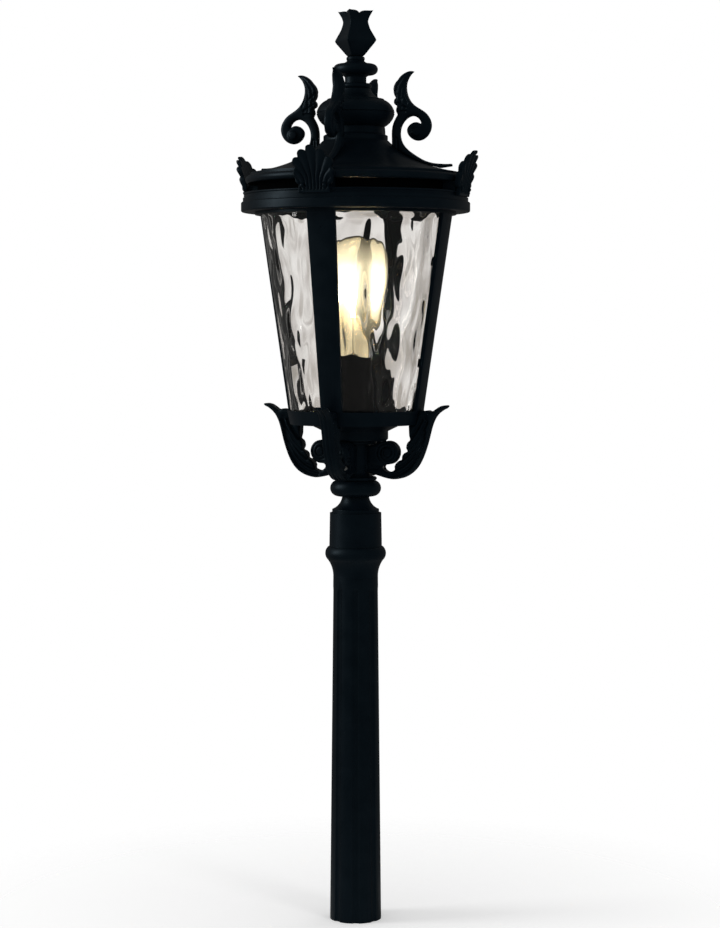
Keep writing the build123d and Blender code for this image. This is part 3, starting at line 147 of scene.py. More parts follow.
def merged_copy(node):
    """A bmesh of a node, with its loose triangles joined at their corners."""
    bm = bmesh.new()
    bm.from_mesh(frame["nodes"][node].data)
    bmesh.ops.remove_doubles(bm, verts=bm.verts, dist=2e-6)
    return bm


def eased(node):
    bm = merged_copy(node)
    bmesh.ops.dissolve_limit(bm, angle_limit=FLAT_ANGLE, verts=bm.verts, edges=bm.edges)
    piece = add_piece(node + "_eased", finished(bm, node + "_eased"), node)
    bevel = piece.modifiers.new("eased_edges", "BEVEL")
    bevel.width = EASE * MM
    bevel.segments = 2
    bevel.limit_method = "ANGLE"
    bevel.angle_limit = EASE_ANGLE
    return piece


PLAIN = [
    "post_shaft", "post_capital", "fitter_collar", "stem_foot", "stem_knop", "stem_column", "base_cup",
    "lower_ring", "upper_ring", "roof", "crown_base", "crown_urn", "crown_neck", "holder_cover",
    "leaf_screws",
]
PLAIN += ["strut_" + side for side in SIDES]
eased_pieces = {node: eased(node) for node in PLAIN}
print("eased", len(eased_pieces), "pieces")

# %% [markdown]
# ## A bead on the moulding
# The ring's moulding ends in a fine bead that runs round under the open gallery and catches the light.
# This thin trim is not in the solid. A curve with a thickness could make it, but a small circle spun
# round the axis gives a closed mesh straight away.

# %% Spin the bead
MOULD_R, MOULD_TOP, BEAD_R = 127.0, 835.5, 1.3


def spin_round(bm, steps):
    """Sweeps a closed profile once round the lantern's axis and joins the seam."""
    bmesh.ops.spin(bm, geom=bm.verts[:] + bm.edges[:], cent=(0, 0, 0), axis=(0, 0, 1),
                   angle=2 * math.pi, steps=steps, use_merge=True)
    bmesh.ops.remove_doubles(bm, verts=bm.verts, dist=1e-6)
    bmesh.ops.recalc_face_normals(bm, faces=bm.faces)


upright = Matrix.Rotation(math.pi / 2, 4, "X")
on_moulding = Matrix.Translation((MOULD_R * MM, 0, (MOULD_TOP - BEAD_R) * MM))
bm = bmesh.new()
bmesh.ops.create_circle(bm, segments=12, radius=BEAD_R * MM, cap_ends=False, matrix=on_moulding @ upright)
spin_round(bm, 144)
bead = add_piece("mould_bead", finished(bm, "mould_bead"), "upper_ring", extra=True)
print("bead", len(bead.data.polygons), "faces")

# %% [markdown]
# ## Carving the ornaments
# The scrolls, legs, palmettes and bud are castings from carved patterns. They could be sculpted by hand,
# but then nobody could follow the steps again. So each starts as a copy of its solid, remeshed into a
# fine even skin that can be pushed about like clay. The skin is relaxed until its edges go soft. The flat
# scrolls and legs are then domed, and veins, ribs and folds are pressed in along lines drawn on the face.

# %% Clay from a solid
RELAX, SMOOTH = 0.5, 0.4


def clamp(value):
    return max(0, min(1, value))


def soften(bm, factor, times=1):
    for n in range(times):
        bmesh.ops.smooth_vert(bm, verts=bm.verts, factor=factor,
                              use_axis_x=True, use_axis_y=True, use_axis_z=True)


def clay(node, voxel, relax):
    """A skin of small even faces over a copy of a solid, softened a number of times."""
    block = bpy.data.objects.new("block", finished(merged_copy(node), "block"))
    bpy.context.scene.collection.objects.link(block)
    remesh = block.modifiers.new("skin", "REMESH")
    remesh.mode = "VOXEL"
    remesh.voxel_size = voxel * MM
    bpy.context.view_layer.update()
    graph = bpy.context.evaluated_depsgraph_get()
    skin = bpy.data.meshes.new_from_object(block.evaluated_get(graph))
    bpy.data.objects.remove(block)
    bm = bmesh.new()
    bm.from_mesh(skin)
    soften(bm, RELAX, relax)
    return bm


print("to carve: three pieces on", len(SIDES), "sides, and the bud")

# %% Grooves and domes
WALL_BAND = 0.35


def near_line(point, line):
    """Distance in a plane from a point to a drawn line of points."""
    best = 1e9
    for a, b in zip(line, line[1:]):
        ab = (b[0] - a[0], b[1] - a[1])
        ap = (point[0] - a[0], point[1] - a[1])
        t = clamp((ab[0] * ap[0] + ab[1] * ap[1]) / (ab[0] ** 2 + ab[1] ** 2))
        best = min(best, math.hypot(ap[0] - t * ab[0], ap[1] - t * ab[1]))
    return best


def groove(distance, width, depth):
    return depth * max(0, 1 - (distance / width) ** 2) ** 2


def dome_plate(bm, half, reach, rim):
    """Makes a flat plate in the XZ plane swell from a thin rim to its full thickness."""
    walls = [v for v in bm.verts if abs(v.co.y) < WALL_BAND * half * MM]
    tree = kdtree.KDTree(len(walls))
    for n, v in enumerate(walls):
        tree.insert((v.co.x, 0, v.co.z), n)
    tree.balance()
    for v in bm.verts:
        gap = tree.find((v.co.x, 0, v.co.z))[2] / MM
        share = min(1, gap / reach)
        v.co.y *= rim + (1 - rim) * math.sqrt(max(0, 1 - (1 - share) ** 2))


print("a groove is", groove(0, 2, 1), "deep on its line and", groove(1, 2, 1), "half way out")

# %% Copies on four sides
CARVED_SHARP = 60


def turned_to(mesh, name, degrees):
    copy = mesh.copy()
    copy.name = name
    copy.transform(Matrix.Rotation(math.radians(degrees), 4, "Z"))
    return copy


def on_four_sides(name, mesh, node):
    """Sets a piece that was carved on the right on all four sides."""
    pieces = []
    for side, turn in SIDES.items():
        place = name + "_" + side
        copy = turned_to(mesh, place, turn)
        pieces.append(add_piece(place, copy, node + "_" + side, CARVED_SHARP))
    return pieces


print("sides:", ", ".join(SIDES))

# %% [markdown]
# ## Roof scrolls
# Each scroll has a horn that leans away from the crown, an arm that rolls into a ball, and a tail that
# runs down the roof. The arm is rounded, and the horn carries a folded leaf. Bump in the finish could
# show the leaf from the front, but its edge would stay flat, so the clay itself is grooved and widened.

# %% Veins of the scroll's leaf
HORN_VEINS = [
    [(50, 930), (51.5, 938), (51, 948), (53, 957), (59, 965), (67, 971)],
    [(57, 931), (56.5, 942), (57.5, 953), (61, 962), (67, 970)],
    [(64, 936), (60.5, 944), (60, 953), (63, 962), (68.5, 970.5)],
]
LOBE_VEINS = [
    [(49, 939), (55, 935), (62, 931)],
    [(50, 926), (56, 927), (62, 927)],
    [(48, 951), (53, 946), (58, 941)],
]
VEINS = HORN_VEINS + LOBE_VEINS
print("veins on a scroll:", len(VEINS))

# %% Carve one scroll and set it on four sides
VEIN_WIDE, VEIN_DEEP = 2.0, 0.24
HORN_LOW, HORN_MID, HORN_SPAN, HORN_SWELL = 922, 950, 28, 0.5
TIP_LOW, TIP_RUN, TIP_TAPER = 964, 8, 0.55
BALL_X, BALL_Z, BALL_R, BALL_SWELL = 75.5, 903.5, 8, 0.28
TAIL_START, TAIL_RUN, TAIL_TOP, TAIL_FILL = 84, 20, 884, 1.6
bm = clay("scroll_right", voxel=0.6, relax=4)
dome_plate(bm, half=4.5, reach=5.0, rim=0.55)
bm.normal_update()
for v in bm.verts:
    out, up = v.co.x / MM, v.co.z / MM
    if up > HORN_LOW:
        cut = max(groove(near_line((out, up), line), VEIN_WIDE, VEIN_DEEP) for line in VEINS)
        v.co.y *= (1 - cut) * (1 + HORN_SWELL * max(0, 1 - ((up - HORN_MID) / HORN_SPAN) ** 2))
        v.co.y *= 1 - TIP_TAPER * clamp((up - TIP_LOW) / TIP_RUN) ** 2
    swirl = math.hypot(out - BALL_X, up - BALL_Z)
    v.co.y *= 1 + BALL_SWELL * max(0, 1 - (swirl / BALL_R) ** 2)
    if up < TAIL_TOP and v.normal.z > 0:
        v.co.z += TAIL_FILL * MM * v.normal.z * clamp((out - TAIL_START) / TAIL_RUN)
soften(bm, SMOOTH)
scroll_mesh = finished(bm, "scroll_carved")
scrolls = on_four_sides("scroll_carved", scroll_mesh, "scroll")
print("scroll", len(scroll_mesh.polygons), "faces each")

# %% [markdown]
# ## The finial bud
# The bud on the top is a four-sided casting: a belly with soft corners, a waist, and four petals that
# lean out at the corners. Its solid has flat facets and pointed tips. A bud could be built anew, but the
# clay of the solid keeps the bore for the rod. So the clay is relaxed, its faces are dished, and the rim
# is drawn up or down until each corner carries a round petal with a notch between. The foot is drawn down
# a little as well, and the neck's bead under it is pressed as much shorter.

# %% Two rims for the bud
NOTCH, PETAL = 8.2, 5.6
SCALLOP_R, SCALLOP_DEPTH, FACE_HALF = 21.0, 6.0, 15.1


def petal_rim(corner):
    """Height of the round petals over their notch, where corner is 0 in mid face and 1 at a corner."""
    return PETAL * (1 - (1 - corner) ** 2.4) ** 0.7


def pointed_rim(corner):
    """Height of the solid's own rim over its lowest point, for the same corner value."""
    arc = math.sqrt(SCALLOP_R ** 2 - (FACE_HALF * corner) ** 2)
    return SCALLOP_DEPTH - max(0, arc - SCALLOP_R + SCALLOP_DEPTH)


print("petal", petal_rim(1), "over the notch, the solid's tip", round(pointed_rim(1), 2))

# %% Round the bud's petals
def levels(node):
    """The lowest and the highest level of a node, in millimetres."""
    return [corner.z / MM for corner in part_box(node)]


BUD_LOW, BUD_HIGH = levels("finial")
BELLY, WAIST = 16.5, 36.0
FOOT_DROP, BELLY_DROP, NECK_BEAD = 3.4, 1.6, 8.0
WIDER, DISH, DISH_LOW, DISH_RUN = 1.08, 0.05, 8, 12
over_waist = BUD_HIGH - BUD_LOW - WAIST
bm = clay("finial", voxel=0.45, relax=45)
for v in bm.verts:
    x, y, z = (value / MM for value in v.co)
    spread = abs(x) + abs(y)
    if spread < 1e-6:
        continue
    corner = abs(abs(x) - abs(y)) / spread
    rise = z - BUD_LOW
    if rise < BELLY:
        drop = FOOT_DROP + (BELLY_DROP - FOOT_DROP) * rise / BELLY
    else:
        drop = BELLY_DROP * max(0, 1 - (rise - BELLY) / (WAIST - BELLY))
    if rise > WAIST:
        reach_now = over_waist - SCALLOP_DEPTH + pointed_rim(corner)
        reach_new = over_waist - NOTCH + petal_rim(corner)
        z = BUD_LOW + WAIST + (rise - WAIST) * reach_new / reach_now
    wide = WIDER - DISH * (1 - corner ** 2) * clamp((rise - DISH_LOW) / DISH_RUN)
    v.co = Vector((x * wide, y * wide, z - drop)) * MM
bud = add_piece("finial_bud", finished(bm, "finial_bud"), "finial", CARVED_SHARP)
print("bud", len(bud.data.polygons), "faces")

# %% Press the neck's bead under the bud
for v in eased_pieces["crown_neck"].data.vertices:
    rise = v.co.z / MM - (BUD_LOW - NECK_BEAD)
    if rise > 0:
        v.co.z -= FOOT_DROP * rise / NECK_BEAD * MM
print("the neck's bead is", round(NECK_BEAD - FOOT_DROP, 1), "mm tall now")

# %% [markdown]
# ## Palmettes
# The four corner leaves are fans of ribs that rise almost upright from the foot and bend out to the
# lobes. Each rib could be a solid of its own, but they run into one another on the real casting. So crest
# lines and hollow lines are drawn for one half. The face lies high where a crest is close and low where a
# hollow is, so the ribs come out evenly round.

# %% Lines and lean of the palmette
LEAF_FOOT = levels("leaf_right")[0]
LEAF_BACK_R, LEAF_THICK, LEAF_TALL = 127.2, 5.0, 51.5
MID_LEAN, TIP_LEAN = 4.5, 14.5
CRESTS = [
    [(0, 0), (0, 52)],
    [(3.6, 0), (5.6, 18), (9.2, 33), (14.2, 47)],
    [(7.2, 0), (10.8, 15), (16.8, 27), (25, 37.5)],
    [(10.8, 0), (14.4, 10), (19.8, 17.5), (28, 24)],
    [(15.5, 0), (18.5, 6), (22, 11)],
]
HOLLOWS = [
    [(1.8, 0), (2.8, 18), (4.6, 34), (6.5, 46)],
    [(5.4, 0), (8.2, 16.5), (12.8, 30), (18, 40)],
    [(9, 0), (12.5, 12.5), (18, 22), (24.5, 29.5)],
    [(13, 0), (16.5, 8), (21, 13.5), (25, 16)],
]


def leaf_front(rise):
    """Distance of the leaf's smooth face from the axis at a height above its foot."""
    share = rise / LEAF_TALL
    bow = 4 * MID_LEAN - TIP_LEAN
    return LEAF_BACK_R + LEAF_THICK + share * (bow + share * (TIP_LEAN - bow))


print("the leaf's face leans out", round(leaf_front(LEAF_TALL) - leaf_front(0), 1), "mm")

# %% Carve one palmette and set it on four sides
RIM_FACING, FRONT_FACING = 0.45, 0.2
HOLLOW_DEPTH, FOOT_DEPTH, FOOT_BAND, RIM_BLEND = 2.0, 0.6, 3, 1.6
PINCH, PINCH_LEVEL, PINCH_SPAN = 0.16, 15, 9
NARROW, NARROW_LOW, NARROW_RUN = 0.07, 8, 12
bm = clay("leaf_right", voxel=0.5, relax=3)
bm.normal_update()
rim = [v for v in bm.verts if abs(v.normal.x) < RIM_FACING]
tree = kdtree.KDTree(len(rim))
for n, v in enumerate(rim):
    tree.insert((0, v.co.y, v.co.z), n)
tree.balance()
for v in bm.verts:
    if v.normal.x < FRONT_FACING:
        continue
    side, rise = abs(v.co.y) / MM, v.co.z / MM - LEAF_FOOT
    high = min(near_line((side, rise), line) for line in CRESTS)
    low = min(near_line((side, rise), line) for line in HOLLOWS)
    depth = HOLLOW_DEPTH * (high / (high + low)) ** 2 if rise > FOOT_BAND else FOOT_DEPTH
    share = min(1, tree.find((0, v.co.y, v.co.z))[2] / (RIM_BLEND * MM))
    carved_face = (leaf_front(rise) - depth) * MM
    v.co.x += share * (carved_face - v.co.x)
for v in bm.verts:
    rise = v.co.z / MM - LEAF_FOOT
    pinch = PINCH * math.exp(-(((rise - PINCH_LEVEL) / PINCH_SPAN) ** 2))
    v.co.y *= 1 - pinch - NARROW * clamp((rise - NARROW_LOW) / NARROW_RUN)
soften(bm, SMOOTH)
leaf_mesh = finished(bm, "leaf_carved")
leaves = on_four_sides("leaf_carved", leaf_mesh, "leaf")
print("leaf", len(leaf_mesh.polygons), "faces each")

# %% [markdown]
# ## Legs
# The legs are acanthus leaves: the outside sweeps up to a horn and is fluted along its length, folds run
# from it down to the lobes of the inner edge, and a small volute curls against the column. The flutes and
# folds could be swept as tubes and cut away. Pressing the clay along drawn lines is quicker, and it
# leaves the soft bottoms that a worn pattern gives.

# %% Folds of the leg's leaf
FOLDS = [
    [(67.5, 553), (74, 562), (82, 575)],
    [(64.8, 540), (73, 549), (82, 561), (88, 574)],
    [(57.8, 530.5), (67, 537.5), (77, 548), (85.5, 562)],
    [(49, 519), (59, 523.5), (69, 531.5), (78, 544), (84.5, 556)],
    [(44, 512), (57, 515), (67.5, 522), (76, 533), (82.5, 546)],
]
print("folds on a leg:", len(FOLDS))

# %% Carve one leg and set it on four sides
FOLD_WIDE, FOLD_DEEP = 3.4, 0.42
EYE_X, EYE_Z, EYE_R, BUTTON_R = 40.3, 538.3, 14, 3.4
CURL_PITCH, CURL_WIDE, CURL_DEEP = 3.9, 0.22, 0.2
FLUTE_PITCH, FLUTE_DEPTH, FLUTE_START, FLUTE_RUN = 4.4, 1.2, 48, 8
LEG_HORN, HORN_RUN, HORN_FILL = 96, 8, 0.9
bm = clay("leg_right", voxel=0.7, relax=4)
dome_plate(bm, half=8, reach=5.5, rim=0.78)
bm.normal_update()
for v in bm.verts:
    out, up = v.co.x / MM, v.co.z / MM
    cut = max(groove(near_line((out, up), line), FOLD_WIDE, FOLD_DEEP) for line in FOLDS)
    swirl = Vector((out - EYE_X, up - EYE_Z))
    if swirl.length < EYE_R:
        curl = (swirl.length / CURL_PITCH - math.degrees(math.atan2(swirl.y, swirl.x)) / 360) % 1
        cut = CURL_DEEP * max(0, 1 - abs(curl - 0.5) / CURL_WIDE) if swirl.length > BUTTON_R else 0
    outside = clamp((v.normal.x - v.normal.z - 0.5) / 0.5) * clamp((out - FLUTE_START) / FLUTE_RUN)
    flute = FLUTE_DEPTH * outside * (0.5 + 0.5 * math.cos(2 * math.pi * v.co.y / MM / FLUTE_PITCH))
    fill = HORN_FILL * clamp((out - LEG_HORN) / HORN_RUN) - flute
    v.co.y *= 1 - cut
    v.co.x += fill * v.normal.x * MM
    v.co.z += fill * v.normal.z * MM
soften(bm, SMOOTH)
leg_mesh = finished(bm, "leg_carved")
legs = on_four_sides("leg_carved", leg_mesh, "leg")
print("leg", len(leg_mesh.polygons), "faces each")

# %% [markdown]
# ## Rippled glass
# The panes are "water" glass: rolled against an uneven surface so that one side has deep, upright
# ripples. Bump in the material could hint at them, but only real bends refract what stands behind. So a
# line of points is spun into a sheet, the sheet gets its thickness, and smooth noise stretched along the
# height moves the inner side. One pane has a tall drop beside its middle, thick enough to pull the lamp's
# image sideways.

# %% The rolled surface
PANE_R = 90
SWAY, SWAY_SIZE = 7, (34, 48)
SWELL, SWELL_SIZE = 1.6, (17, 44)
BROAD, BROAD_SIZE = 0.8, (40, 80)
FINE, FINE_SIZE = 0.4, (9, 30)
ROUND, ROUND_SIZE, ROUND_REACH = 1.0, (27, 54), 0.22
DROP_ALONG, DROP_LEVEL, DROP_DEEP, DROP_SIZE = -21, 726, 6.2, (13, 48)
CALM, SINK = 0.7, 0.3


def wave(u, level, size, seed):
    """Smooth noise whose waves are about as wide and as tall as the size says."""
    return noise.noise((u / size[0], level / size[1], seed))


def ripple(turn, level, seed, bulge):
    """Height of the rolled surface: bent swells, a few round lenses and, by its bulge, one tall drop."""
    u = math.radians(turn) * PANE_R
    sway = SWAY * wave(u, level, SWAY_SIZE, seed + 9.1)
    swell = SWELL * wave(u + sway, level - sway, SWELL_SIZE, seed)
    broad = BROAD * wave(u - sway, level, BROAD_SIZE, seed + 5.7)
    fine = FINE * wave(u + 2 * sway, level + 3 * sway, FINE_SIZE, seed + 1.9)
    near = noise.voronoi((u / ROUND_SIZE[0], level / ROUND_SIZE[1], seed + 2.3))[0][0]
    lenses = ROUND * math.exp(-((near / ROUND_REACH) ** 2))
    beside, above = (u - DROP_ALONG) / DROP_SIZE[0], (level - DROP_LEVEL) / DROP_SIZE[1]
    drop = bulge * math.exp(-(beside ** 2) - above ** 2)
    return (swell + broad + lenses) * (1 - CALM * drop) + fine - SINK - DROP_DEEP * drop


drop_turn = math.degrees(DROP_ALONG / PANE_R)
print("the drop stands", round(drop_turn, 1), "degrees from the middle of its pane")

# %% A smooth pane
GLASS_FOOT, GLASS_HEAD = levels("pane_back_right")
GLASS_THICK, FOOT_R, HEAD_R, PANE_ARC = 4, 73.09, 108.1, 79.8
ROWS, COLUMNS = 150, 84


def smooth_pane():
    """A curved sheet of even thickness, its middle on the X axis."""
    bm = bmesh.new()
    foot = bm.verts.new((FOOT_R * MM, 0, GLASS_FOOT * MM))
    head = bm.verts.new((HEAD_R * MM, 0, GLASS_HEAD * MM))
    line = bm.edges.new((foot, head))
    bmesh.ops.subdivide_edges(bm, edges=[line], cuts=ROWS - 1)
    bmesh.ops.spin(bm, geom=bm.verts[:] + bm.edges[:], cent=(0, 0, 0), axis=(0, 0, 1),
                   angle=math.radians(PANE_ARC), steps=COLUMNS)
    half_back = Matrix.Rotation(math.radians(-PANE_ARC / 2), 3, "Z")
    bmesh.ops.rotate(bm, verts=bm.verts, cent=(0, 0, 0), matrix=half_back)
    bmesh.ops.recalc_face_normals(bm, faces=bm.faces)
    bmesh.ops.solidify(bm, geom=bm.faces[:], thickness=-GLASS_THICK * MM)
    return bm


print("a pane is", round(GLASS_HEAD - GLASS_FOOT, 1), "mm tall and", GLASS_THICK, "mm thick")

# %% Ripple the panes
PUSH_IN, PUSH_OUT = -6.5, 2.8
EDGE_TURN, EDGE_TALL = 5, 6
PANE_SEEDS = {"back_right": 64.1, "back_left": 67.2, "front_left": 47.9, "front_right": 73.4}
PANE_DROPS = {"front_right": 1}


def rippled_pane(name, seed, bulge):
    bm = smooth_pane()
    for v in bm.verts:
        reach = math.hypot(v.co.x, v.co.y)
        level = v.co.z / MM
        outer_r = FOOT_R + (HEAD_R - FOOT_R) * (level - GLASS_FOOT) / (GLASS_HEAD - GLASS_FOOT)
        if reach / MM > outer_r - GLASS_THICK / 2:
            continue
        turn = math.degrees(math.atan2(v.co.y, v.co.x))
        from_end = min(level - GLASS_FOOT, GLASS_HEAD - level)
        edge = clamp(min((PANE_ARC / 2 - abs(turn)) / EDGE_TURN, from_end / EDGE_TALL))
        push = max(PUSH_IN, min(PUSH_OUT, ripple(turn, level, seed, bulge))) * edge * MM
        v.co.x += push * v.co.x / reach
        v.co.y += push * v.co.y / reach
    bmesh.ops.recalc_face_normals(bm, faces=bm.faces)
    return finished(bm, name)


panes = []
for place, turn in PANES.items():
    name = "pane_rippled_" + place
    sheet = rippled_pane("pane_flat", PANE_SEEDS[place], PANE_DROPS.get(place, 0))
    panes.append(add_piece(name, turned_to(sheet, name, turn), "pane_" + place))
print("pane", len(panes[0].data.polygons), "faces each")

# %% [markdown]
# ## The lamp
# A clear screw-cap lamp: a blown envelope, a cap with a rolled thread, and glowing filament rods on a
# glass mount. The envelope could be a ball stretched at one end, but a profile spun round the axis draws
# the neck, the shoulder and both walls in one go. The same helper rolls the cap.

# %% The envelope's outline
BULB_R, BULB_WALL, BULB_TIP_R = 30, 1.2, 0.05
NECK_R, NECK_FLARE, NECK_TALL, SHOULDER_R = 14, 0.3, 24, 15.6
SHOULDER_STEPS, DOME_STEP = 12, 6
CAP_TOP, BULB_TOP = levels("bulb_glass")
dome_level = BULB_TOP - BULB_R


def bulb_side(inset):
    """The envelope's half outline from the cap to the top, drawn in by an inset."""
    mid_neck = (NECK_R + NECK_FLARE, CAP_TOP + NECK_TALL / 2)
    side = [(NECK_R, CAP_TOP), mid_neck, (SHOULDER_R, CAP_TOP + NECK_TALL)]
    for n in range(1, SHOULDER_STEPS):
        t = n / SHOULDER_STEPS
        ease = t * t * (3 - 2 * t)
        level = CAP_TOP + NECK_TALL + t * (dome_level - CAP_TOP - NECK_TALL)
        side.append((SHOULDER_R + (BULB_R - SHOULDER_R) * ease, level))
    dome, dome_r = [], BULB_R - inset
    for degrees in range(0, 90, DOME_STEP):
        angle = math.radians(degrees)
        dome.append((dome_r * math.cos(angle), dome_level + dome_r * math.sin(angle)))
    return [(r - inset, z) for r, z in side] + dome + [(BULB_TIP_R, BULB_TOP - inset)]


outline = bulb_side(0) + bulb_side(BULB_WALL)[::-1]
print("outline of", len(outline), "points")

# %% Spin the envelope
ROUND_STEPS = 96


def spun(name, profile, node):
    bm = bmesh.new()
    ring = [bm.verts.new((r * MM, 0, z * MM)) for r, z in profile]
    for pair in zip(ring, ring[1:] + ring[:1]):
        bm.edges.new(pair)
    spin_round(bm, ROUND_STEPS)
    return add_piece(name, finished(bm, name), node)


bulb = spun("bulb_blown", outline, "bulb_glass")
print("lamp", len(bulb.data.polygons), "faces, top at", round(BULB_TOP, 1))

# %% Roll the cap
CAP_R, CAP_BORE_R, CAP_POINTS = 12.5, 12, 40
THREAD_HEIGHT, THREAD_TURN = 0.45, math.pi / 3
cap_low, cap_high = levels("bulb_cap")
rolls = []
for n in range(CAP_POINTS):
    level = cap_low + n * (cap_high - cap_low) / (CAP_POINTS - 1)
    rolls.append((CAP_R + THREAD_HEIGHT * math.cos(n * THREAD_TURN), level))
cap = spun("bulb_cap_rolled", rolls + [(CAP_BORE_R, cap_high), (CAP_BORE_R, cap_low)], "bulb_cap")
print("cap", len(cap.data.polygons), "faces")

# %% [markdown]
# ## Finishes
# Nearly all that shows wears one finish: a near-black powder coat with a satin sheen, a faint blue cast and
# the fine orange-peel grain that baked powder leaves. A picture of paint could be wrapped round the
# pieces, but noise in the object's own coordinates has no seams. Colour and gloss vary a little with one
# noise, and a finer noise is the grain.

# %% A starting point for every finish
def finish_base(name):
    material = bpy.data.materials.new(name)
    material.use_nodes = True
    return material, material.node_tree.nodes, material.node_tree.links


def grain(nodes, links, scale, detail):
    place = nodes.new("ShaderNodeTexCoord")
    pattern = nodes.new("ShaderNodeTexNoise")
    pattern.inputs["Scale"].default_value = scale
    pattern.inputs["Detail"].default_value = detail
    links.new(place.outputs["Object"], pattern.inputs["Vector"])
    return pattern.outputs["Fac"]


def ramp(nodes, links, source, low, high, start=0.3, end=0.7):
    colours = nodes.new("ShaderNodeValToRGB")
    first, last = colours.color_ramp.elements
    first.position, last.position = start, end
    first.color, last.color = (*low, 1), (*high, 1)
    links.new(source, colours.inputs["Fac"])
    return colours.outputs["Color"]


print("slots to fill:", len(set(slot_of_node.values())))

# %% The black coats
GLOSS_SPREAD, RELIEF_HEIGHT = 0.05, 0.0004


def solid_finish(name, low, high, rough, metal=0.0, specular=0.5, scale=60, relief=0.1, relief_scale=900):
    material, nodes, links = finish_base(name)
    shader = nodes["Principled BSDF"]
    cloud = grain(nodes, links, scale, detail=4)
    links.new(ramp(nodes, links, cloud, low, high), shader.inputs["Base Color"])
    glossy, dull = (rough - GLOSS_SPREAD,) * 3, (rough + GLOSS_SPREAD,) * 3
    links.new(ramp(nodes, links, cloud, glossy, dull), shader.inputs["Roughness"])
    shader.inputs["Metallic"].default_value = metal
    shader.inputs["Specular IOR Level"].default_value = specular
    bump = nodes.new("ShaderNodeBump")
    bump.inputs["Strength"].default_value = relief
    bump.inputs["Distance"].default_value = RELIEF_HEIGHT
    links.new(grain(nodes, links, relief_scale, detail=3), bump.inputs["Height"])
    links.new(bump.outputs["Normal"], shader.inputs["Normal"])
    return material


black_coat = solid_finish("black_coat", (0.0007, 0.0026, 0.0048), (0.0016, 0.0042, 0.0070),
                          rough=0.42, specular=0.20, scale=45, relief=0.16, relief_scale=1100)
black_coat.node_tree.nodes["Principled BSDF"].inputs["Specular Tint"].default_value = (0.55, 0.82, 1.0, 1)
# Painted shade: a near-black, almost unlit finish that stands for the deep shade inside the roof's gallery
painted_shade_black = solid_finish("painted_shade_black", (0.0004, 0.0006, 0.0008), (0.0008, 0.0010, 0.0012),
                          rough=0.9, specular=0.02, relief=0.05)
print("coats:", black_coat.name, painted_shade_black.name)

# %% [markdown]
# ## Metals
# The tube, rod, nuts, bar and screws inside are zinc-plated steel. The lamp's cap and the holder's shell
# are nickel-plated, and the holder's contact is brass. Grey paint could stand for them, but metal mostly
# shows what it reflects, so these are full metals that differ in tint and gloss. The blackened zinc is
# for the clips.

# %% Metals
zinc_steel = solid_finish("zinc_steel", (0.42, 0.42, 0.40), (0.60, 0.60, 0.57),
                          rough=0.38, metal=1.0, scale=120, relief=0.06, relief_scale=700)
black_zinc = solid_finish("black_zinc", (0.010, 0.010, 0.011), (0.02, 0.02, 0.021),
                          rough=0.4, metal=0.6, specular=0.3, scale=120, relief=0.06, relief_scale=700)
nickel_shell = solid_finish("nickel_shell", (0.52, 0.49, 0.43), (0.66, 0.63, 0.56),
                            rough=0.3, metal=1.0, scale=150, relief=0.05, relief_scale=600)
nickel_cap = solid_finish("nickel_cap", (0.55, 0.53, 0.49), (0.70, 0.68, 0.62),
                          rough=0.28, metal=1.0, scale=150, relief=0.05, relief_scale=600)
contact_brass = solid_finish("contact_brass", (0.55, 0.38, 0.14), (0.70, 0.52, 0.22),
                             rough=0.3, metal=1.0, scale=150, relief=0.05, relief_scale=600)
print("metals:", zinc_steel.name, black_zinc.name, nickel_shell.name, nickel_cap.name, contact_brass.name)

# %% [markdown]
# ## Plastics, rubber and ceramic
# The lamp holder has a black plastic cover on a rubber gasket, and a white ceramic body inside that bears
# the heat. Its leads have pale insulation, and the end of the lamp's cap is dark insulating glass. One
# matt finish could do for all, but gloss is what tells them apart: ceramic and glass shine, rubber does
# not.

# %% Plastics, rubber and ceramic
black_plastic = solid_finish("black_plastic", (0.0012, 0.0012, 0.0014), (0.0024, 0.0024, 0.0026),
                             rough=0.4, specular=0.10, scale=80, relief=0.05, relief_scale=1400)
gasket_rubber = solid_finish("gasket_rubber", (0.012, 0.012, 0.012), (0.022, 0.022, 0.022),
                             rough=0.75, specular=0.3, scale=90, relief_scale=800)
white_ceramic = solid_finish("white_ceramic", (0.72, 0.70, 0.66), (0.82, 0.81, 0.77),
                             rough=0.2, scale=70, relief=0.03, relief_scale=300)
lead_insulation = solid_finish("lead_insulation", (0.58, 0.55, 0.49), (0.68, 0.65, 0.58),
                               rough=0.55, specular=0.4, scale=200, relief=0.05)
lamp_insulator = solid_finish("lamp_insulator", (0.015, 0.015, 0.018), (0.03, 0.03, 0.034),
                              rough=0.2, scale=150, relief=0.03, relief_scale=600)
others = (black_plastic, gasket_rubber, white_ceramic, lead_insulation, lamp_insulator)
print("others:", *(finish.name for finish in others))

# %% [markdown]
# ## Glass and glow
# The panes and the envelope are clear with a slight warm tint, so what stands behind a pane is a shade
# darker than the open background. The filament rods glow. A bright haze round them could be painted over
# the picture, but then it would not follow the lamp. So the envelope itself glows faintly, most where it
# is seen face on and half way up, as such a lamp does when it is lit.

# %% Clear finishes
def glass_finish(name, low, high, rough, ior):
    material, nodes, links = finish_base(name)
    shader = nodes["Principled BSDF"]
    cloud = grain(nodes, links, scale=14, detail=3)
    links.new(ramp(nodes, links, cloud, low, high), shader.inputs["Base Color"])
    shader.inputs["Transmission Weight"].default_value = 1.0
    shader.inputs["Roughness"].default_value = rough
    shader.inputs["IOR"].default_value = ior
    return material


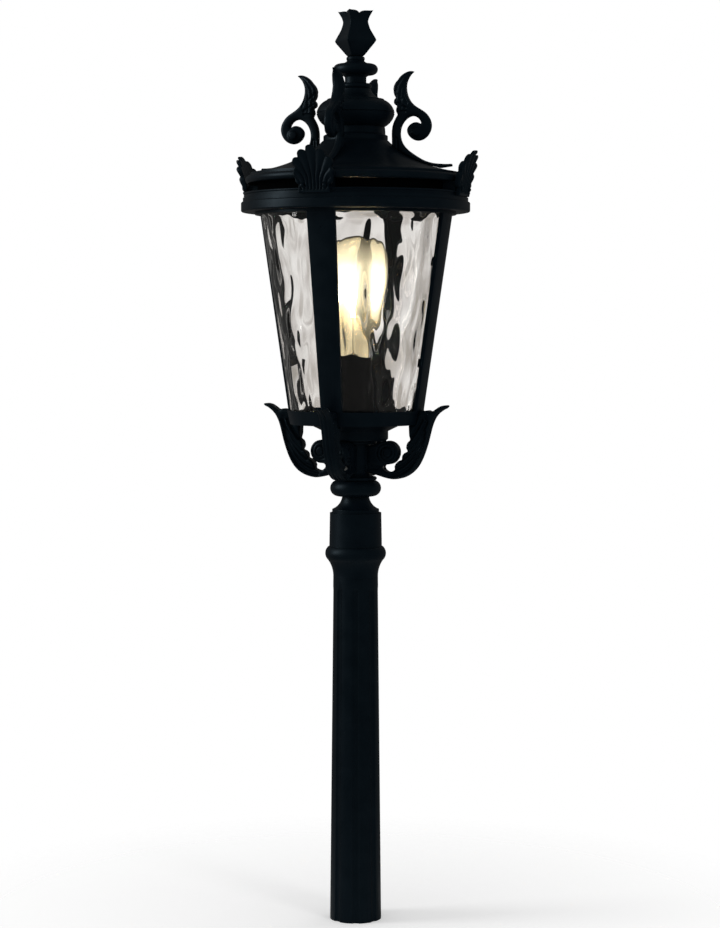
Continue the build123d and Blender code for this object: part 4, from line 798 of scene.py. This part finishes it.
rippled_glass = glass_finish("rippled_glass", (0.93, 0.915, 0.89), (0.975, 0.965, 0.95),
                             rough=0.0, ior=1.46)
lamp_glass = glass_finish("lamp_glass", (0.94, 0.87, 0.68), (0.97, 0.91, 0.75), rough=0.0, ior=1.30)
mount_glass = glass_finish("mount_glass", (0.95, 0.95, 0.92), (0.99, 0.99, 0.97), rough=0.05, ior=1.4)
print("glass:", rippled_glass.name, lamp_glass.name, mount_glass.name)

# %% The glow by height
GLOW_LOW, GLOW_HIGH, GLOW_ENDS = 0.665, 0.795, 0.05
GLOW_CURVE = ((0.25, 0.3), (0.5, 1.0), (0.75, 0.3))
nodes, links = lamp_glass.node_tree.nodes, lamp_glass.node_tree.links
place = nodes.new("ShaderNodeTexCoord")
split = nodes.new("ShaderNodeSeparateXYZ")
links.new(place.outputs["Object"], split.inputs["Vector"])
band = nodes.new("ShaderNodeMapRange")
band.inputs["From Min"].default_value = GLOW_LOW
band.inputs["From Max"].default_value = GLOW_HIGH
links.new(split.outputs["Z"], band.inputs["Value"])
by_height = nodes.new("ShaderNodeFloatCurve")
curve = by_height.mapping.curves[0]
curve.points[0].location = (0, GLOW_ENDS)
curve.points[1].location = (1, GLOW_ENDS)
for share, strength in GLOW_CURVE:
    curve.points.new(share, strength)
by_height.mapping.update()
links.new(band.outputs["Result"], by_height.inputs["Value"])
print("glow between", GLOW_LOW, "and", GLOW_HIGH, "m")

# %% The glow by angle
GLOW_COLOUR, GLOW_STRENGTH = (1.0, 0.92, 0.71, 1), 0.62
GLOW_EDGE, EDGE_FACING = 0.12, 0.6


def product(first, second):
    """Multiplies an output by another one or by a number."""
    times = nodes.new("ShaderNodeMath")
    times.operation = "MULTIPLY"
    links.new(first, times.inputs[0])
    if isinstance(second, float):
        times.inputs[1].default_value = second
    else:
        links.new(second, times.inputs[1])
    return times.outputs["Value"]


facing = nodes.new("ShaderNodeLayerWeight")
facing.inputs["Blend"].default_value = 0.5
core = nodes.new("ShaderNodeMapRange")
core.interpolation_type = "SMOOTHSTEP"
core.inputs["From Min"].default_value = EDGE_FACING
core.inputs["From Max"].default_value = 0.0
core.inputs["To Min"].default_value = GLOW_EDGE
core.inputs["To Max"].default_value = 1.0
links.new(facing.outputs["Facing"], core.inputs["Value"])
spot = product(by_height.outputs["Value"], core.outputs["Result"])
shader = nodes["Principled BSDF"]
shader.inputs["Emission Color"].default_value = GLOW_COLOUR
links.new(product(spot, GLOW_STRENGTH), shader.inputs["Emission Strength"])
print("glow strength", GLOW_STRENGTH)

# %% The filament
filament, nodes, links = finish_base("filament")
shader = nodes["Principled BSDF"]
heat = grain(nodes, links, scale=400, detail=2)
links.new(ramp(nodes, links, heat, (1.0, 0.70, 0.30), (1.0, 0.84, 0.50)), shader.inputs["Base Color"])
links.new(ramp(nodes, links, heat, (1.0, 0.74, 0.36), (1.0, 0.82, 0.50)), shader.inputs["Emission Color"])
shader.inputs["Emission Strength"].default_value = 45
print("filament strength", shader.inputs["Emission Strength"].default_value)

# %% [markdown]
# ## Dressing
# The record names a slot for every node, and each slot has one finish. Pieces could be dressed one by
# one, but a table does it in a loop and forgets none. Two things differ. The clips that hold the panes,
# with their screws, are blackened, because bright zinc would glint through the glass. And the roof's
# skirt inside the open gallery lies in deep shade, so its faces take painted shade: a near-black, almost
# unlit finish.

# %% Give every piece its finish
FINISH = {
    "black_coat": black_coat, "rippled_glass": rippled_glass, "zinc_steel": zinc_steel,
    "gasket_rubber": gasket_rubber, "black_plastic": black_plastic, "white_ceramic": white_ceramic,
    "nickel_shell": nickel_shell, "contact_brass": contact_brass, "lead_insulation": lead_insulation,
    "lamp_glass": lamp_glass, "nickel_cap": nickel_cap, "lamp_insulator": lamp_insulator,
    "mount_glass": mount_glass, "filament": filament,
}


def dress(obj, material):
    obj.data.materials.clear()
    obj.data.materials.append(material)


for node, obj in frame["nodes"].items():
    dress(obj, FINISH[slot_of_node[node]])
for node in ("glass_clips", "clip_screws"):
    dress(frame["nodes"][node], black_zinc)
for node, piece in eased_pieces.items():
    dress(piece, FINISH[slot_of_node[node]])
for piece in scrolls + leaves + legs + [bead, bud]:
    dress(piece, black_coat)
for piece in panes:
    dress(piece, rippled_glass)
dress(bulb, lamp_glass)
dress(cap, nickel_cap)
print("dressed", len(frame["nodes"]), "nodes")

# %% Shade the roof's skirt
SKIRT_R, SKIRT_TOP = 0.121, 0.8475
roof_mesh = eased_pieces["roof"].data
roof_mesh.materials.append(painted_shade_black)
# The skirt's faces inside the gallery take the painted shade as their second material
skirt = [f for f in roof_mesh.polygons if f.center.xy.length < SKIRT_R and f.center.z < SKIRT_TOP]
for face in skirt:
    face.material_index = 1
print("skirt", len(skirt), "faces")

# %% [markdown]
# ## Floor and light
# The background is plain white. A white sheet under the object would show a horizon, so the floor is a
# pale disc that keeps the post's soft shadow and fades out round it. The camera sees it a little brighter
# than its light alone would make it.

# %% The floor's disc
FLOOR_R = 1.6
bm = bmesh.new()
bmesh.ops.create_circle(bm, cap_ends=True, segments=96, radius=FLOOR_R)
floor = bpy.data.objects.new("floor", finished(bm, "floor"))
bpy.context.scene.collection.objects.link(floor)
floor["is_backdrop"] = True
floor_paint, nodes, links = finish_base("floor_paint")
nodes.remove(nodes["Principled BSDF"])
floor.data.materials.append(floor_paint)
print("floor", 2 * FLOOR_R, "m across")

# %% The floor's fade and paint
FADE_START, FADE_END = 0.12, 0.55
PALE, LIFT = (0.88, 0.88, 0.88, 1), (0.22, 0.22, 0.22, 1)
place = nodes.new("ShaderNodeTexCoord")
reach = nodes.new("ShaderNodeVectorMath")
reach.operation = "LENGTH"
links.new(place.outputs["Object"], reach.inputs[0])
fade = nodes.new("ShaderNodeMapRange")
fade.inputs["From Min"].default_value = FADE_START
fade.inputs["From Max"].default_value = FADE_END
fade.inputs["To Min"].default_value = 1
fade.inputs["To Max"].default_value = 0
links.new(reach.outputs["Value"], fade.inputs["Value"])
matte = nodes.new("ShaderNodeBsdfDiffuse")
matte.inputs["Color"].default_value = PALE
seen = nodes.new("ShaderNodeLightPath")
lift = nodes.new("ShaderNodeEmission")
lift.inputs["Color"].default_value = LIFT
links.new(seen.outputs["Is Camera Ray"], lift.inputs["Strength"])
lit = nodes.new("ShaderNodeAddShader")
links.new(matte.outputs["BSDF"], lit.inputs[0])
links.new(lift.outputs["Emission"], lit.inputs[1])
clear = nodes.new("ShaderNodeBsdfTransparent")
blend = nodes.new("ShaderNodeMixShader")
links.new(fade.outputs["Result"], blend.inputs["Fac"])
links.new(clear.outputs["BSDF"], blend.inputs[1])
links.new(lit.outputs["Shader"], blend.inputs[2])
links.new(blend.outputs["Shader"], nodes["Material Output"].inputs["Surface"])
print("floor fades from", FADE_START, "to", FADE_END, "m")

# %% [markdown]
# ## The studio
# A picture of a room could light the object, but a few plain answers are easier to steer. The camera sees
# a white world. Rays through the glass see broad soft patches from grey to white, like cards that stand
# round the lantern, and these draw the ripples. Reflections see a dim world, so the black coat and the
# dark things behind the glass stay dark. Everything else is lit by a middle grey.

# %% Cards of light for the glass
CARD_DARK, CARD_MID, CARD_LIGHT = (0.46, 0.435, 0.40), (0.69, 0.665, 0.655), (1.0, 1.0, 1.0)
CARD_SCALE, CARD_START, CARD_MIDDLE, CARD_END = 3.4, 0.34, 0.5, 0.64
world = bpy.data.worlds.new("studio")
world.use_nodes = True
bpy.context.scene.world = world
nodes, links = world.node_tree.nodes, world.node_tree.links
way = nodes.new("ShaderNodeTexCoord")
room = nodes.new("ShaderNodeTexNoise")
room.inputs["Scale"].default_value = CARD_SCALE
room.inputs["Detail"].default_value = 1.0
links.new(way.outputs["Generated"], room.inputs["Vector"])
cards = ramp(nodes, links, room.outputs["Fac"], CARD_DARK, CARD_LIGHT, CARD_START, CARD_END)
cards.node.color_ramp.elements.new(CARD_MIDDLE).color = (*CARD_MID, 1)
print("cards from", CARD_DARK, "to", CARD_LIGHT)

# %% A light for each kind of ray
WHITE, MIDDLE_GREY = (1.0, 1.0, 1.0), (0.55, 0.55, 0.55)
DIM_ROOM, DIM_BEHIND = (0.10, 0.105, 0.11), (0.10, 0.10, 0.098)


def pick(choice, otherwise, chosen):
    """Takes one of two lights, each a colour or an output, by a kind of ray."""
    mix = nodes.new("ShaderNodeMix")
    mix.data_type = "RGBA"
    links.new(choice, mix.inputs["Factor"])
    for value, socket in ((otherwise, mix.inputs["A"]), (chosen, mix.inputs["B"])):
        if isinstance(value, tuple):
            socket.default_value = (*value, 1)
        else:
            links.new(value, socket)
    return mix.outputs["Result"]


ray = nodes.new("ShaderNodeLightPath")
mirrored = nodes.new("ShaderNodeMath")
mirrored.operation = "GREATER_THAN"
mirrored.inputs[1].default_value = 0.5
links.new(ray.outputs["Glossy Depth"], mirrored.inputs[0])
light = pick(ray.outputs["Is Glossy Ray"], MIDDLE_GREY, DIM_ROOM)
light = pick(ray.outputs["Is Transmission Ray"], light, cards)
light = pick(mirrored.outputs["Value"], light, DIM_BEHIND)
light = pick(ray.outputs["Is Camera Ray"], light, WHITE)
links.new(light, nodes["Background"].inputs["Color"])
print("world with", len(nodes), "nodes")

# %% [markdown]
# ## The lamps
# A large soft key lamp on the left gives the black coat its long highlights. A fill on the right and a
# rim lamp behind could add more of them, but these would make flat bright spots on the roof and leaves.
# So both are hidden from reflections and only lift the shade. A small warm lamp in the glass stands for
# the light that the filament throws on the inside.

# %% The soft lamps
def soft_lamp(name, place, aim, width, height, power):
    data = bpy.data.lights.new(name, "AREA")
    data.shape = "RECTANGLE"
    data.size, data.size_y = width, height
    data.energy = power
    lamp = bpy.data.objects.new(name, data)
    lamp.location = place
    lamp.rotation_euler = (Vector(aim) - Vector(place)).to_track_quat("-Z", "Y").to_euler()
    bpy.context.scene.collection.objects.link(lamp)
    lamp.visible_camera = False
    return lamp


soft_lamp("key", (-2.2, -1.1, 1.5), (0, 0, 0.65), width=0.8, height=1.6, power=24)
fill = soft_lamp("fill", (1.9, -1.2, 1.2), (0, 0, 0.65), width=0.5, height=1.6, power=10)
rim_lamp = soft_lamp("rim", (0.6, 2.0, 2.0), (0, 0, 0.8), width=1.4, height=1.4, power=5)
for quiet in (fill, rim_lamp):
    quiet.visible_glossy = False
print("soft lamps:", len(bpy.data.lights))

# %% The warm lamp in the glass
glow_data = bpy.data.lights.new("lamp_glow", "POINT")
glow_data.energy = 1.4
glow_data.color = (1.0, 0.80, 0.50)
glow_data.shadow_soft_size = 0.02
glow_lamp = bpy.data.objects.new("lamp_glow", glow_data)
glow_lamp.location = (0, 0, 0.72)
bpy.context.scene.collection.objects.link(glow_lamp)
print("lamps in all:", len(bpy.data.lights))

# %% [markdown]
# A dressed object should stay as large as its solids. The eye misses a small change, so the box of the
# solids and the box of what is shown are kept side by side. The bud's rounded petals end a few
# millimetres lower.

# %% Print both boxes and finish
seen_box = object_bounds()
for label, box in (("cad", cad_box), ("visual", seen_box)):
    print(label, [[round(v, 4) for v in corner] for corner in box])
